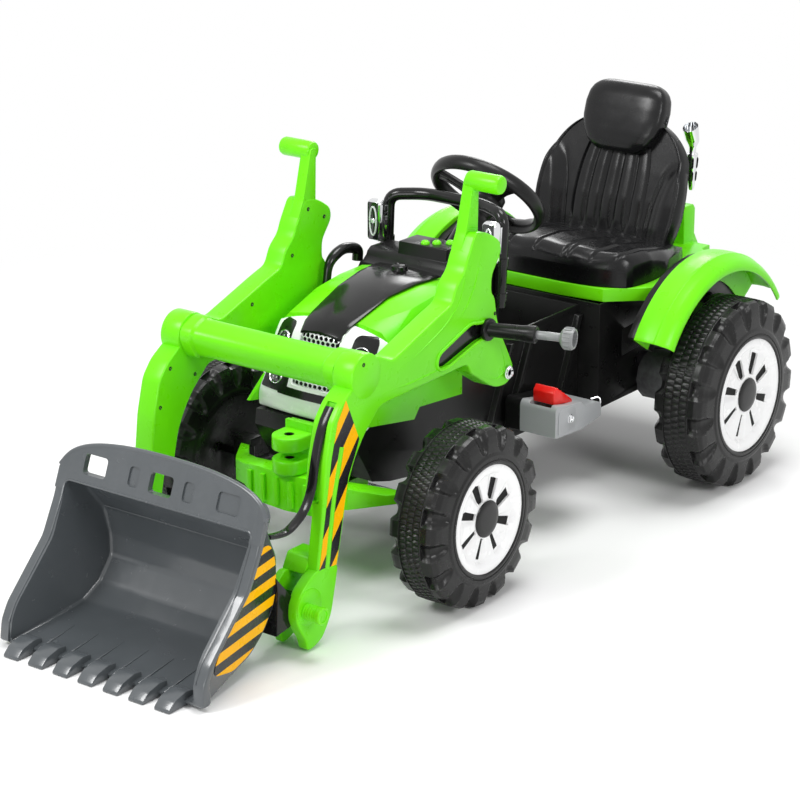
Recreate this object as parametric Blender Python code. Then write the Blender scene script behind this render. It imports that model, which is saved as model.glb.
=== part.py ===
"""Battery-driven ride-on front loader for a small child, as separate moulded and metal pieces.

Metres, +Z up. The bucket points along -Y and +X is the driver's left. The outlines below are written
in the tractor's own lengthwise datum, and the tractor_frame empty moves them so that the origin is at
the middle of the box, on the ground.
"""

import math
from dataclasses import dataclass

import bmesh
import bpy
from mathutils import Matrix, Vector

# Clearances and walls
GAP = 0.0003
WALL = 0.004
RUNNING_GAP = 0.001

# Overall reach of the loader, front and rear
TEETH_TIP_Y = -0.680
REAR_END_Y = 0.735
DATUM_SHIFT_Y = -(REAR_END_Y + TEETH_TIP_Y) / 2

# Loader arms
ARM_INNER_X = 0.141
ARM_OUTER_X = 0.176
POST_OUTER_X = 0.160
ARM_PIVOT = (0.063, 0.285)
ARM_SHAFT_RADIUS = 0.006
GRIP_PLACE = (0.006, 0.590)
GRIP_RADIUS = 0.012
GRIP_REACH_X = 0.194
CROSSBAR_PLACE = (-0.280, 0.370)
CROSSBAR_RADIUS = 0.026
KNUCKLE_RADIUS = 0.033
SLOT_DEPTH = 0.007
STRIP_HALF = 0.0068
STRIP_THICKNESS = 0.003
LEVER_PLACE = (0.008, 0.366)
STUD_RADIUS = 0.007

# Bucket and its brackets
BUCKET_PIVOT = (-0.420, 0.065)
BUCKET_HALF_WIDTH = 0.188
BUCKET_MOUTH_HALF_WIDTH = 0.180
BUCKET_DRAFT = 0.20
BUCKET_WALL = 0.004
FLANGE_DEPTH = 0.015
BUCKET_TOP_Z = 0.278
TEETH_COUNT = 7
TEETH_PITCH = 0.0466
TOOTH_WIDTH = 0.027
BRACKET_INNER_X = 0.118
BRACKET_PLATE = 0.012
BRACKET_OUTER_X = 0.162
PIN_RADIUS = 0.010
PIN_REACH_X = 0.209

# Running gear
AXLE_RADIUS = 0.006
HUB_HOLE_RADIUS = 0.0256
HUB_CAP_RADIUS = 0.0246
LUG_COUNT = 16
SPOKE_COUNT = 8
WEB_OUT_X = 0.012
WEB_IN_X = -0.016
KINGPIN_X = 0.163
KINGPIN_RADIUS = 0.006
STEERING_ARM = 0.055
STEERING_PIN_RADIUS = 0.004
EYE_REACH = 0.010
CRANK_RADIUS = 0.024
TIE_ROD_Z = 0.108
TIE_ROD_HALF = 0.003
FORK_PLAY = 0.0017

# Body
TUB_HALF_WIDTH = 0.096
RIB_REACH = 0.010
HOOD_HALF_WIDTH = 0.104
SKIRT_X = 0.1065
NOSE_REAR_Y = -0.1273
NOSE_HALF_WIDTH = 0.100
PANEL_THICKNESS = 0.0040
PANEL_SEAT = 0.0022
UPPER_LAMP = (0.0721, 0.3450, 0.0150)
LOWER_LAMP = (0.0750, 0.2960, 0.0180)
LAMP_DEPTH = 0.014
GRILLE_HALF_WIDTH = 0.036
GRILLE_LOW_Z = 0.2900
GRILLE_HIGH_Z = 0.3610
GRILLE_LEAN = 0.30
REAR_HALF_WIDTH = 0.136
REAR_FRONT_Y = 0.3775
ARCH_INNER_X = 0.2070
ARCH_OUTER_X = 0.2217
DECK_SEAT_Z = 0.3057
ARCH_RADIUS = 0.2135
FENDER_INNER_X = 0.222
FENDER_OUTER_X = 0.285
FENDER_RADIUS = 0.220
FENDER_WALL = 0.0035

# Driver's place
STEERING_HUB = (0.258, 0.489)
STEERING_RAKE = math.radians(44.4)
STEERING_RADIUS = 0.0885
STEERING_RIM = 0.0092
SHAFT_RADIUS = 0.006
SHAFT_LENGTH = 0.446
CRANK_PIN_LENGTH = 0.054
CRANK_PIN_RADIUS = 0.0045
BUTTON_RADIUS = 0.0070
BUTTON_SEAT_Z = 0.445
BUTTON_PLACES = ((-0.004, 0.100), (0.010, 0.1106), (0.0265, 0.123))
HOOP_X = 0.108
HOOP_RADIUS = 0.0077
SEAT_DECK_Z = 0.3280
PEDAL_PIVOT = (0.2150, 0.1975)
PEDAL_SPAN_X = (0.1495, 0.1885)
SEAT_HALF_WIDTH = 0.172
SEAT_BACK_FOOT = (0.606, 0.3505)
SEAT_BACK_LEAN = math.radians(18.8)

# Colours
GREEN = (0.098, 0.62, 0.012)
BLACK = (0.012, 0.012, 0.013)
WHITE = (0.82, 0.82, 0.82)
DARK_GREY = (0.085, 0.09, 0.095)
LIGHT_GREY = (0.36, 0.37, 0.38)
CHROME = (0.78, 0.78, 0.78)
STEEL = (0.45, 0.45, 0.46)
RED = (0.75, 0.02, 0.01)


@dataclass(frozen=True)
class Wheel:
    """The sizes of one road wheel."""

    axle_y: float
    axle_z: float
    radius: float
    rim_radius: float
    inner_x: float
    outer_x: float

    @property
    def middle_x(self):
        return (self.inner_x + self.outer_x) / 2

    @property
    def half_width(self):
        return (self.outer_x - self.inner_x) / 2


REAR_WHEEL = Wheel(0.525, 0.1534, 0.1534, 0.0924, 0.233, 0.3315)
FRONT_WHEEL = Wheel(-0.131, 0.1352, 0.1352, 0.0813, 0.193, 0.2845)


@dataclass
class Holder:
    """An empty on a joint's axis or at a piece's seat, with its place in the datum."""

    empty: object
    place: Vector


def clear_scene():
    for old in list(bpy.data.objects):
        bpy.data.objects.remove(old, do_unlink=True)


def add_holder(name, place, above=None):
    empty = bpy.data.objects.new(name, None)
    empty.empty_display_size = 0.03
    bpy.context.scene.collection.objects.link(empty)
    spot = Vector(place)
    if above:
        empty.parent = above.empty
        empty.location = spot - above.place
    else:
        empty.location = spot + Vector((0, DATUM_SHIFT_Y, 0))
    return Holder(empty, spot)


def plastic(name, colour, roughness=0.35, metallic=0.0):
    material = bpy.data.materials.new(name)
    material.use_nodes = True
    shader = material.node_tree.nodes["Principled BSDF"]
    shader.inputs["Base Color"].default_value = (*colour, 1.0)
    shader.inputs["Roughness"].default_value = roughness
    shader.inputs["Metallic"].default_value = metallic
    return material


def add_object(name, bm, holder, local=False):
    """An object of this mesh, whose points are in the datum unless they are local to the holder."""
    if not local:
        bmesh.ops.translate(bm, verts=bm.verts, vec=-holder.place)
    mesh = bpy.data.meshes.new(name)
    bm.to_mesh(mesh)
    bm.free()
    made = bpy.data.objects.new(name, mesh)
    bpy.context.scene.collection.objects.link(made)
    made.parent = holder.empty
    return made


def add_piece(name, bm, holder, colour, roughness=0.35, metallic=0.0, local=False):
    made = add_object(name, bm, holder, local)
    made.data.materials.append(plastic(name + "_finish", colour, roughness, metallic))
    made.data.shade_smooth()
    made.data.set_sharp_from_angle(angle=math.radians(35))
    return made


def combine(target, bm, holder, operation, local=False):
    """Adds a hidden solid that is joined to the target or cut from it."""
    tool = add_object(f"{target.name}_{operation.lower()}_{len(target.modifiers)}", bm, holder, local)
    tool.hide_render = True
    tool.display_type = "WIRE"
    step = target.modifiers.new(tool.name, "BOOLEAN")
    step.operation = operation
    step.object = tool
    step.solver = "EXACT"


def join(target, bm, holder, local=False):
    combine(target, bm, holder, "UNION", local)


def cut(target, bm, holder, local=False):
    combine(target, bm, holder, "DIFFERENCE", local)


def copy_piece(source, name, holder, turned):
    """A second object with the same mesh and cutters, on another holder and turned about +Z."""
    made = bpy.data.objects.new(name, source.data)
    bpy.context.scene.collection.objects.link(made)
    made.parent = holder.empty
    made.rotation_euler.z = turned
    for step in source.modifiers:
        tool = bpy.data.objects.new(f"{name}_{step.name}", step.object.data)
        bpy.context.scene.collection.objects.link(tool)
        tool.parent = holder.empty
        tool.rotation_euler.z = turned
        tool.hide_render = True
        tool.display_type = "WIRE"
        same = made.modifiers.new(tool.name, "BOOLEAN")
        same.operation = step.operation
        same.object = tool
        same.solver = "EXACT"
    return made


def outward(bm):
    bmesh.ops.recalc_face_normals(bm, faces=bm.faces)
    return bm


def skin(rings, closed=False, bm=None):
    """A surface through rings of as many points each, joined end to end or capped."""
    bm = bm or bmesh.new()
    rows = [[bm.verts.new(point) for point in ring] for ring in rings]
    pairs = list(zip(rows, rows[1:]))
    if closed:
        pairs.append((rows[-1], rows[0]))
    count = len(rows[0])
    for first, second in pairs:
        for i in range(count):
            j = (i + 1) % count
            bm.faces.new((first[i], first[j], second[j], second[i]))
    if not closed:
        bm.faces.new(rows[0])
        bm.faces.new(rows[-1])
    return outward(bm)


def plate(outline, x_low, x_high, bm=None):
    """A plate with this outline of (y, z) corners, from one x to the other."""
    rings = [[(x, y, z) for y, z in outline] for x in (x_low, x_high)]
    return skin(rings, bm=bm)


def across(sections, bm=None):
    """A loft across the tractor through (x, outline) sections, given for x >= 0 and mirrored."""
    mirrored = [(-x, outline) for x, outline in reversed(sections) if x > 0]
    rings = [[(x, y, z) for y, z in outline] for x, outline in mirrored + list(sections)]
    return skin(rings, bm=bm)


def eased(corners, reach, steps=3, closed=True):
    """The corners of an outline or a path, each rounded over this reach."""
    points = [Vector(corner) for corner in corners]
    count = len(points)
    out = []
    for i, corner in enumerate(points):
        if not closed and i in (0, count - 1):
            out.append(corner)
            continue
        before = points[i - 1] - corner
        after = points[(i + 1) % count] - corner
        start = corner + before.normalized() * min(reach, before.length * 0.45)
        end = corner + after.normalized() * min(reach, after.length * 0.45)
        for step in range(steps + 1):
            t = step / steps
            out.append(start * (1 - t) ** 2 + corner * 2 * t * (1 - t) + end * t**2)
    return [tuple(point) for point in out]


def arc(centre, radius, start, end, steps):
    """Points on a circle in the (y, z) plane, between two angles in degrees from +Y."""
    turns = [math.radians(start + (end - start) * i / steps) for i in range(steps + 1)]
    return [(centre[0] + radius * math.cos(t), centre[1] + radius * math.sin(t)) for t in turns]


def tube(path, radius, sides=10, bm=None):
    """A round bar along a path. The radius is one value or one for each point."""
    points = [Vector(point) for point in path]
    radii = radius if isinstance(radius, (list, tuple)) else [radius] * len(points)
    rings = []
    side = None
    for i, point in enumerate(points):
        along = (points[min(i + 1, len(points) - 1)] - points[max(i - 1, 0)]).normalized()
        side = along.orthogonal() if side is None else side
        side = (side - along * side.dot(along)).normalized()
        up = along.cross(side)
        turns = [2 * math.pi * k / sides for k in range(sides)]
        rings.append([point + (side * math.cos(t) + up * math.sin(t)) * radii[i] for t in turns])
    return skin(rings, bm=bm)


def bar_x(place, radius, x_low, x_high, sides=16, bm=None):
    return tube([(x_low, *place), (x_high, *place)], radius, sides, bm)


def box(low, high, bevel=0.0, segments=2, bm=None):
    """A box between two corners, with its edges rounded."""
    made = bmesh.new()
    size = Vector(high) - Vector(low)
    middle = (Vector(high) + Vector(low)) / 2
    bmesh.ops.create_cube(made, size=1.0, matrix=Matrix.Translation(middle) @ Matrix.Diagonal((*size, 1)))
    if bevel:
        bmesh.ops.bevel(made, geom=made.edges[:],
                        offset=bevel, segments=segments, affect="EDGES", profile=0.5)
    outward(made)
    if bm is None:
        return made
    copy = bpy.data.meshes.new("box")
    made.to_mesh(copy)
    made.free()
    bm.from_mesh(copy)
    bpy.data.meshes.remove(copy)
    return bm


def flip_side(side, low_x, high_x):
    """The x range of a piece on one side of the tractor, low value first."""
    return sorted((side * low_x, side * high_x))


def side_name(side):
    return "left" if side > 0 else "right"


# Wheels

def tyre_mesh(wheel):
    """A moulded tyre with its web: lugs stand round both shoulders, with valleys between."""
    half = wheel.half_width
    lip = wheel.rim_radius
    full = wheel.radius
    web_seat = lip - 0.004
    bore = AXLE_RADIUS + GAP
    valley = 0.008
    outer = [
        (WEB_OUT_X, bore, 0.0),
        (WEB_OUT_X, web_seat, 0.0),
        (half, lip + 0.003, 0.0),
        (half - 0.0015, lip + 0.016, 0.0),
        (half - 0.0040, full - 0.022, valley),
        (half - 0.0104, full - 0.003, valley),
        (half - 0.031, full, valley * 0.7),
    ]
    inner = [(-(half - 0.0104), full - 0.003, valley), (-half + 0.001, lip + 0.012, 0.0),
             (WEB_IN_X, bore, 0.0)]
    profile = outer + inner
    rings = []
    for lug in range(LUG_COUNT):
        for phase, depth in ((0.0, 0.0), (0.55, 0.0), (0.775, 1.0)):
            t = 2 * math.pi * (lug + phase) / LUG_COUNT
            ring = []
            for x, r, drop in profile:
                sunk = drop * depth
                ring.append((x - math.copysign(sunk * 0.8, x), (r - sunk) * math.cos(t),
                             (r - sunk) * math.sin(t)))
            rings.append(ring)
    return skin(rings, closed=True)


def rim_mesh(wheel):
    """A dished rim cover with a pocket between each two spokes."""
    half = wheel.half_width
    edge = wheel.rim_radius
    back = WEB_OUT_X + GAP
    pocket = 0.010
    profile = [
        (back, HUB_HOLE_RADIUS, 0.0),
        (half - 0.007, HUB_HOLE_RADIUS, 0.0),
        (half - 0.006, HUB_HOLE_RADIUS + 0.007, pocket),
        (half - 0.006, edge * 0.80, pocket),
        (half - 0.001, edge * 0.90, 0.0),
        (half - 0.001, edge + 0.0005, 0.0),
        (back, edge - 0.004 - 2 * GAP, 0.0),
    ]
    rings = []
    for spoke in range(SPOKE_COUNT):
        for phase, depth in ((0.0, 0.0), (0.30, 0.0), (0.38, 1.0), (0.92, 1.0)):
            t = 2 * math.pi * (spoke + phase) / SPOKE_COUNT
            rings.append([(x - drop * depth, r * math.cos(t), r * math.sin(t)) for x, r, drop in profile])
    return skin(rings, closed=True)


def rim_slots(wheel):
    """The narrow slots through the rim's pockets, as one set of cutters."""
    bm = bmesh.new()
    for spoke in range(SPOKE_COUNT):
        turn = Matrix.Rotation(2 * math.pi * (spoke + 0.65) / SPOKE_COUNT, 4, "X")
        size = Matrix.Diagonal((0.1, 0.34 * wheel.rim_radius, 0.008, 1))
        seat = Matrix.Translation((0.04, 0.56 * wheel.rim_radius, 0))
        bmesh.ops.create_cube(bm, size=1.0, matrix=turn @ seat @ size)
    return bm


def hub_cap_mesh(wheel):
    half = wheel.half_width
    profile = [
        (WEB_OUT_X + GAP, HUB_CAP_RADIUS),
        (half - 0.006, HUB_CAP_RADIUS),
        (half - 0.003, HUB_CAP_RADIUS - 0.003),
    ]
    return tube([(x, 0, 0) for x, _ in profile], [r for _, r in profile], 14)


def build_wheel(wheel, end, frame_holders):
    """The tyre, rim cover and hub cap of both wheels of one axle."""
    first = {}
    for side in (1, -1):
        place = (side * wheel.middle_x, wheel.axle_y, wheel.axle_z)
        name = f"{end}_{side_name(side)}"
        holder = add_holder(f"{name}_wheel_centre", place, frame_holders[side])
        turned = 0.0 if side > 0 else math.pi
        if side > 0:
            tyre = add_piece(f"tyre_{name}", tyre_mesh(wheel), holder, BLACK, 0.45, local=True)
            rim = add_piece(f"rim_cover_{name}", rim_mesh(wheel), holder, WHITE, 0.3, local=True)
            cut(rim, rim_slots(wheel), holder, local=True)
            cap = add_piece(f"hub_cap_{name}", hub_cap_mesh(wheel), holder, BLACK, 0.3, local=True)
            first = {"tyre": tyre, "rim_cover": rim, "hub_cap": cap}
        else:
            for kind, source in first.items():
                copy_piece(source, f"{kind}_{name}", holder, turned)


def build_rear_axle(frame):
    reach = REAR_WHEEL.middle_x + WEB_OUT_X - GAP
    place = (REAR_WHEEL.axle_y, REAR_WHEEL.axle_z)
    add_piece("rear_axle", bar_x(place, AXLE_RADIUS, -reach, reach, 12), frame, STEEL, 0.3, 1.0)


def build_gearmotors(frame):
    """A gear case with its motor on each side, which drives the wheel through a spigot on the axle."""
    y, z = REAR_WHEEL.axle_y, REAR_WHEEL.axle_z
    for side in (1, -1):
        low, high = flip_side(side, REAR_HALF_WIDTH + WALL, 0.212)
        outline = arc((y, z), 0.040, 90, 270, 6) + arc((y + 0.055, z), 0.028, -90, 90, 6)
        case = add_piece(f"gearmotor_{side_name(side)}", plate(outline, low, high), frame, DARK_GREY, 0.5)
        spigot_x = REAR_WHEEL.middle_x + WEB_IN_X - 0.004
        spigot = bar_x((y, z), 0.014, *flip_side(side, 0.205, spigot_x), 12)
        join(case, spigot, frame)
        cut(case, bar_x((y, z), AXLE_RADIUS + GAP, *flip_side(side, 0.10, 0.30), 12), frame)


# Front axle and steering

BEAM_SECTIONS = ((0.0, -0.2500, 0.120, 0.176), (0.060, -0.2460, 0.121, 0.177), (0.105, -0.2340, 0.124, 0.177),
                 (0.142, -0.1900, 0.128, 0.152))


def beam_front(x):
    """How far forward the beam's front face is at this distance from the middle."""
    for (x_a, y_a, *_), (x_b, y_b, *_) in zip(BEAM_SECTIONS, BEAM_SECTIONS[1:]):
        if x <= x_b:
            return y_a + (y_b - y_a) * (x - x_a) / (x_b - x_a)
    return BEAM_SECTIONS[-1][1]


def build_front_beam(frame):
    """The bowed, ribbed beam in front, its pivot eyes, and the hitch lugs above it."""
    y = FRONT_WHEEL.axle_y
    sections = []
    for x, front, low, high in BEAM_SECTIONS:
        sections.append((x, [(front, low), (front, high), (front + 0.030, high), (front + 0.030, low)]))
    front, rear = y - EYE_REACH, y + EYE_REACH
    sections.append((KINGPIN_X + EYE_REACH, [(front, 0.128), (front, 0.152), (rear, 0.152), (rear, 0.128)]))
    beam = add_piece("front_axle_beam", across(sections), frame, GREEN)
    rib_pitch = 0.0270
    for side in (1, -1):
        for rib in range(3):
            x = rib_pitch * (rib + 0.5)
            front = beam_front(x)
            low, high = flip_side(side, x - 0.004, x + 0.004)
            join(beam, box((low, front - 0.005, 0.127), (high, front + 0.006, 0.168)), frame)
    join(beam, box((-0.040, -0.235, 0.1245), (0.040, y + 0.030, 0.1435)), frame)
    join(beam, box((-0.022, -0.232, 0.150), (0.022, -0.2005, 0.246)), frame)
    for hole_y, low, high in ((-0.2300, 0.2226, 0.2460), (-0.2320, 0.1860, 0.2100)):
        lug = [(hole_y + 0.025, low), (hole_y + 0.025, high), (hole_y - 0.020, high),
               (hole_y - 0.030, high - 0.006), (hole_y - 0.030, low)]
        join(beam, plate(lug, -0.026, 0.026), frame)
    cut(beam, tube([(0, -0.236, 0.170), (0, -0.236, 0.260)], 0.0075, 12), frame)
    cut(beam, box((-0.030, -0.300, 0.2102), (0.030, -0.2180, 0.2224)), frame)
    for side in (1, -1):
        hole = tube([(side * KINGPIN_X, y, 0.09), (side * KINGPIN_X, y, 0.20)], KINGPIN_RADIUS + 2 * GAP, 10)
        cut(beam, hole, frame)


def build_knuckles(frame):
    """A yoke above and below each beam eye, its kingpin, the stub axle and the steering arm."""
    y, z = FRONT_WHEEL.axle_y, FRONT_WHEEL.axle_z
    holders = {}
    for side in (1, -1):
        x = side * KINGPIN_X
        holder = add_holder(f"kingpin_{side_name(side)}", (x, y, z), frame)
        holders[side] = holder
        pin = tube([(x, y, 0.116), (x, y, 0.164)], KINGPIN_RADIUS, 10)
        knuckle = add_piece(f"knuckle_{side_name(side)}", pin, holder, BLACK, 0.5)
        for low, high in ((0.114, 0.128 - RUNNING_GAP), (0.152 + RUNNING_GAP, 0.166)):
            ear = plate([(y - 0.012, low), (y + 0.012, low), (y + 0.012, high), (y - 0.012, high)],
                        *flip_side(side, KINGPIN_X - 0.011, KINGPIN_X + 0.022))
            join(knuckle, ear, holder)
        flip = flip_side(side, KINGPIN_X + 0.0145, KINGPIN_X + 0.023)
        join(knuckle, box((flip[0], y - 0.012, 0.1145), (flip[1], y + 0.012, 0.1655)), holder)
        end = FRONT_WHEEL.middle_x + WEB_OUT_X - GAP
        join(knuckle, bar_x((y, z), AXLE_RADIUS, *flip_side(side, KINGPIN_X + 0.018, end), 12), holder)
        arm = plate([(y, 0.1150), (y + STEERING_ARM + 0.008, 0.1150), (y + STEERING_ARM + 0.008, 0.1225),
                     (y, 0.1225)],
                    *flip_side(side, KINGPIN_X - 0.008, KINGPIN_X + 0.008))
        join(knuckle, arm, holder)
        drop = (x, y + STEERING_ARM)
        join(knuckle, tube([(*drop, TIE_ROD_Z - 0.006), (*drop, 0.118)], STEERING_PIN_RADIUS, 8), holder)
        head = [(*drop, TIE_ROD_Z - TIE_ROD_HALF - GAP), (*drop, TIE_ROD_Z - TIE_ROD_HALF - 0.004)]
        join(knuckle, tube(head, STEERING_PIN_RADIUS + 0.003, 10), holder)
    return holders


def build_tie_rod(frame):
    """The rod between the steering arms, with an eye at each end and a fork for the crank."""
    y = FRONT_WHEEL.axle_y + STEERING_ARM
    low, high = TIE_ROD_Z - TIE_ROD_HALF, TIE_ROD_Z + TIE_ROD_HALF
    reach = KINGPIN_X + 0.010
    holder = add_holder("tie_rod_middle", (0, y, TIE_ROD_Z), frame)
    rod = add_piece("tie_rod", box((-reach, y - 0.011, low), (reach, y + 0.011, high)),
                    holder, STEEL, 0.35, 1.0)
    for side in (1, -1):
        narrow, wide = flip_side(side, KINGPIN_X - STEERING_PIN_RADIUS - GAP,
                                 KINGPIN_X + STEERING_PIN_RADIUS + GAP)
        slot = [(narrow, y - 0.0065), (narrow + 0.002, y - 0.0085), (wide - 0.002, y - 0.0085),
                (wide, y - 0.0065), (wide, y + 0.0065), (wide - 0.002, y + 0.0085),
                (narrow + 0.002, y + 0.0085), (narrow, y + 0.0065)]
        cut(rod, skin([[(*point, level) for point in slot] for level in (low - 0.01, high + 0.01)]), holder)
        fork_low, fork_high = flip_side(side, CRANK_PIN_RADIUS + FORK_PLAY,
                                        CRANK_PIN_RADIUS + FORK_PLAY + 0.003)
        join(rod, box((fork_low, y - 0.021, low + 0.001), (fork_high, y + 0.007, 0.140)), holder)


def steering_axis():
    """The column's direction, from the steering wheel down to the crank."""
    return Vector((0, -math.cos(STEERING_RAKE), -math.sin(STEERING_RAKE))).normalized()


def build_steering_wheel(frame):
    """The rim, three spokes, hub, shaft and crank, which turn as one."""
    hub = Vector((0, *STEERING_HUB))
    holder = add_holder("steering_centre", hub, frame)
    down = steering_axis()
    up_rim = Vector((1, 0, 0)).cross(down).normalized()
    if up_rim.z > 0:
        up_rim = -up_rim
    rings = []
    steps = 24
    for i in range(steps):
        t = 2 * math.pi * i / steps
        out = Vector((1, 0, 0)) * math.cos(t) + up_rim * math.sin(t)
        turns = [2 * math.pi * k / 6 for k in range(6)]
        rings.append([hub + out * (STEERING_RADIUS + STEERING_RIM * math.cos(a))
                      - down * STEERING_RIM * math.sin(a) for a in turns])
    wheel = add_piece("steering_wheel", skin(rings, closed=True), holder, BLACK, 0.35)
    boss = [hub - down * 0.002, hub + down * 0.016, hub + down * 0.040]
    join(wheel, tube(boss, [0.030, 0.030, 0.016], 12), holder)
    for turn in (90, 210, 330):
        out = Vector((1, 0, 0)) * math.cos(math.radians(turn)) + up_rim * math.sin(math.radians(turn))
        wide = out.cross(down).normalized() * 0.011
        flat = down * 0.004
        near = hub + out * 0.022 + down * 0.008
        far = hub + out * STEERING_RADIUS
        corners = ((1, 1), (1, -1), (-1, -1), (-1, 1))
        rings = [[end + wide * a + flat * b for a, b in corners] for end in (near, far)]
        join(wheel, skin(rings), holder)
    crank_top = hub + down * SHAFT_LENGTH
    back = Vector((0, -down.z, down.y)).normalized()
    if back.z > 0:
        back = -back
    crank = crank_top + back * CRANK_RADIUS
    pin_end = crank + down * CRANK_PIN_LENGTH
    join(wheel, tube([hub + down * 0.030, crank_top + down * 0.003], SHAFT_RADIUS, 10), holder)
    join(wheel, tube([crank_top - back * 0.004, crank + back * 0.004], SHAFT_RADIUS * 0.85, 8), holder)
    join(wheel, tube([crank - down * 0.003, pin_end], CRANK_PIN_RADIUS, 8), holder)
    cut(wheel, tube([hub - down * 0.010, hub + down * 0.0045], 0.0245, 16), holder)
    return holder


def build_horn_pad(steering):
    hub = steering.place
    down = steering_axis()
    seat = add_holder("horn_seat", hub, steering)
    path = [hub + down * 0.0005, hub - down * 0.006, hub - down * 0.0095]
    add_piece("horn_pad", tube(path, [0.0235, 0.0235, 0.019], 16), seat, RED, 0.3)


def build_column(frame):
    """The fixed sleeve that the steering shaft turns in, from the dashboard up to the wheel's boss."""
    hub = Vector((0, *STEERING_HUB))
    down = steering_axis()
    path = [hub + down * 0.0415, hub + down * 0.050, hub + down * 0.128]
    sleeve = add_piece("steering_column", tube(path, [0.019, 0.022, 0.026], 14), frame, BLACK, 0.4)
    cut(sleeve, tube([hub + down * 0.030, hub + down * 0.150], SHAFT_RADIUS + 2 * GAP, 12), frame)


# Body

TUB_OUTLINE = [(-0.1273, 0.2754), (-0.1798, 0.2434), (-0.1960, 0.2434), (-0.2000, 0.2200), (-0.1630, 0.1600),
               (-0.1200, 0.1480), (-0.0200, 0.1330), (0.1000, 0.1250), (REAR_FRONT_Y - GAP, 0.1250),
               (REAR_FRONT_Y - GAP, 0.2990),
               (0.1200, 0.2990), (0.0600, 0.2754)]


def build_tub(frame):
    """The lower chassis moulding: an open tub with a slot in its floor for the steering crank."""
    tub = add_piece("chassis_tub", plate(TUB_OUTLINE, -TUB_HALF_WIDTH, TUB_HALF_WIDTH), frame, BLACK, 0.5)
    rear = REAR_FRONT_Y - GAP - WALL
    hollow = [(-0.1200, 0.3200), (-0.1200, 0.2700), (-0.1780, 0.2385), (-0.1920, 0.2385), (-0.1955, 0.2205),
              (-0.1600, 0.1650), (-0.1180, 0.1530), (-0.0180, 0.1375), (0.1000, 0.1295), (rear, 0.1295),
              (rear, 0.3200)]
    inner = TUB_HALF_WIDTH - WALL
    cut(tub, plate(hollow, -inner, inner), frame)
    cut(tub, box((-0.040, -0.112, 0.110), (0.040, -0.030, 0.170)), frame)
    for side in (1, -1):
        bore = bar_x(ARM_PIVOT, ARM_SHAFT_RADIUS + GAP, *flip_side(side, 0.080, 0.110), 12)
        cut(tub, bore, frame)
        low, high = flip_side(side, TUB_HALF_WIDTH - 0.001, TUB_HALF_WIDTH + RIB_REACH)
        for start in (0.110, 0.165, 0.300):
            web = [(start, 0.135), (start + 0.010, 0.135), (start + 0.075, 0.285), (start + 0.065, 0.285)]
            join(tub, plate(web, low, high), frame)


def build_rear_body(frame):
    """The battery well under the seat and the arch walls that carry the fenders."""
    floor, top = 0.130, DECK_SEAT_Z
    corners = [(REAR_FRONT_Y, floor), (REAR_FRONT_Y, top), (0.700, top), (0.716, 0.260), (0.700, 0.150),
               (0.680, floor)]
    body = add_piece("rear_body", plate(corners, -REAR_HALF_WIDTH, REAR_HALF_WIDTH), frame, BLACK, 0.5)
    y, z = REAR_WHEEL.axle_y, REAR_WHEEL.axle_z
    arch = arc((y, z), ARCH_RADIUS, 146, 36, 10) + arc((y, z), 0.150, 36, 146, 6)
    for side in (1, -1):
        join(body, plate(arch, *flip_side(side, ARCH_INNER_X, ARCH_OUTER_X)), frame)
        inboard, outboard = side * (REAR_HALF_WIDTH - WALL), side * (ARCH_INNER_X + WALL)
        for stay in (y - 0.080, y + 0.072):
            rings = [[(inboard, at, 0.200), (inboard, at, 0.245), (outboard, at, 0.303),
                      (outboard, at, 0.258)]
                     for at in (stay, stay + 0.008)]
            join(body, skin(rings), frame)
    inner = REAR_HALF_WIDTH - WALL
    cut(body, box((-inner, REAR_FRONT_Y + WALL, floor + WALL), (inner, 0.640, 0.330)), frame)
    for side in (1, -1):
        cut(body, bar_x((y, z), AXLE_RADIUS + GAP, *flip_side(side, 0.110, 0.150), 12), frame)


def build_battery(frame):
    low = (-0.060, 0.400, 0.130 + WALL + GAP)
    add_piece("battery", box(low, (0.060, 0.495, 0.235), 0.003, 1), frame, DARK_GREY, 0.5)


HOOD_STATIONS = [(-0.1270, 0.1000, 0.3855, 0.3620), (-0.0600, 0.1035, 0.4065, 0.3820),
                 (0.0000, 0.1050, 0.4145, 0.3900), (0.0555, 0.1060, 0.4150, 0.3920)]


def hood_section(half, centre_z, edge_z):
    """Half of the bonnet's roof line at one station, from the middle outwards."""
    return [(0.0, centre_z), (half * 0.55, centre_z - 0.003), (half * 0.86, (centre_z + edge_z) / 2 + 0.003),
            (half, edge_z)]


def between(points, value):
    """The second coordinate at this value of the first, along straight runs."""
    for (a, first), (b, second) in zip(points, points[1:]):
        if value <= b:
            return first + (second - first) * (value - a) / (b - a)
    return points[-1][1]


def cover_height(x, y):
    """The height of the bonnet or the nose cowl at this place."""
    if y < NOSE_REAR_Y:
        top = nose_outline(x)[:3]
        return between([(y_, z_) for y_, z_ in reversed(top)], y)
    heights = []
    for station, half, centre, edge in HOOD_STATIONS:
        heights.append((station, between(hood_section(half, centre, edge), abs(x))))
    return between(heights, y)


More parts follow.
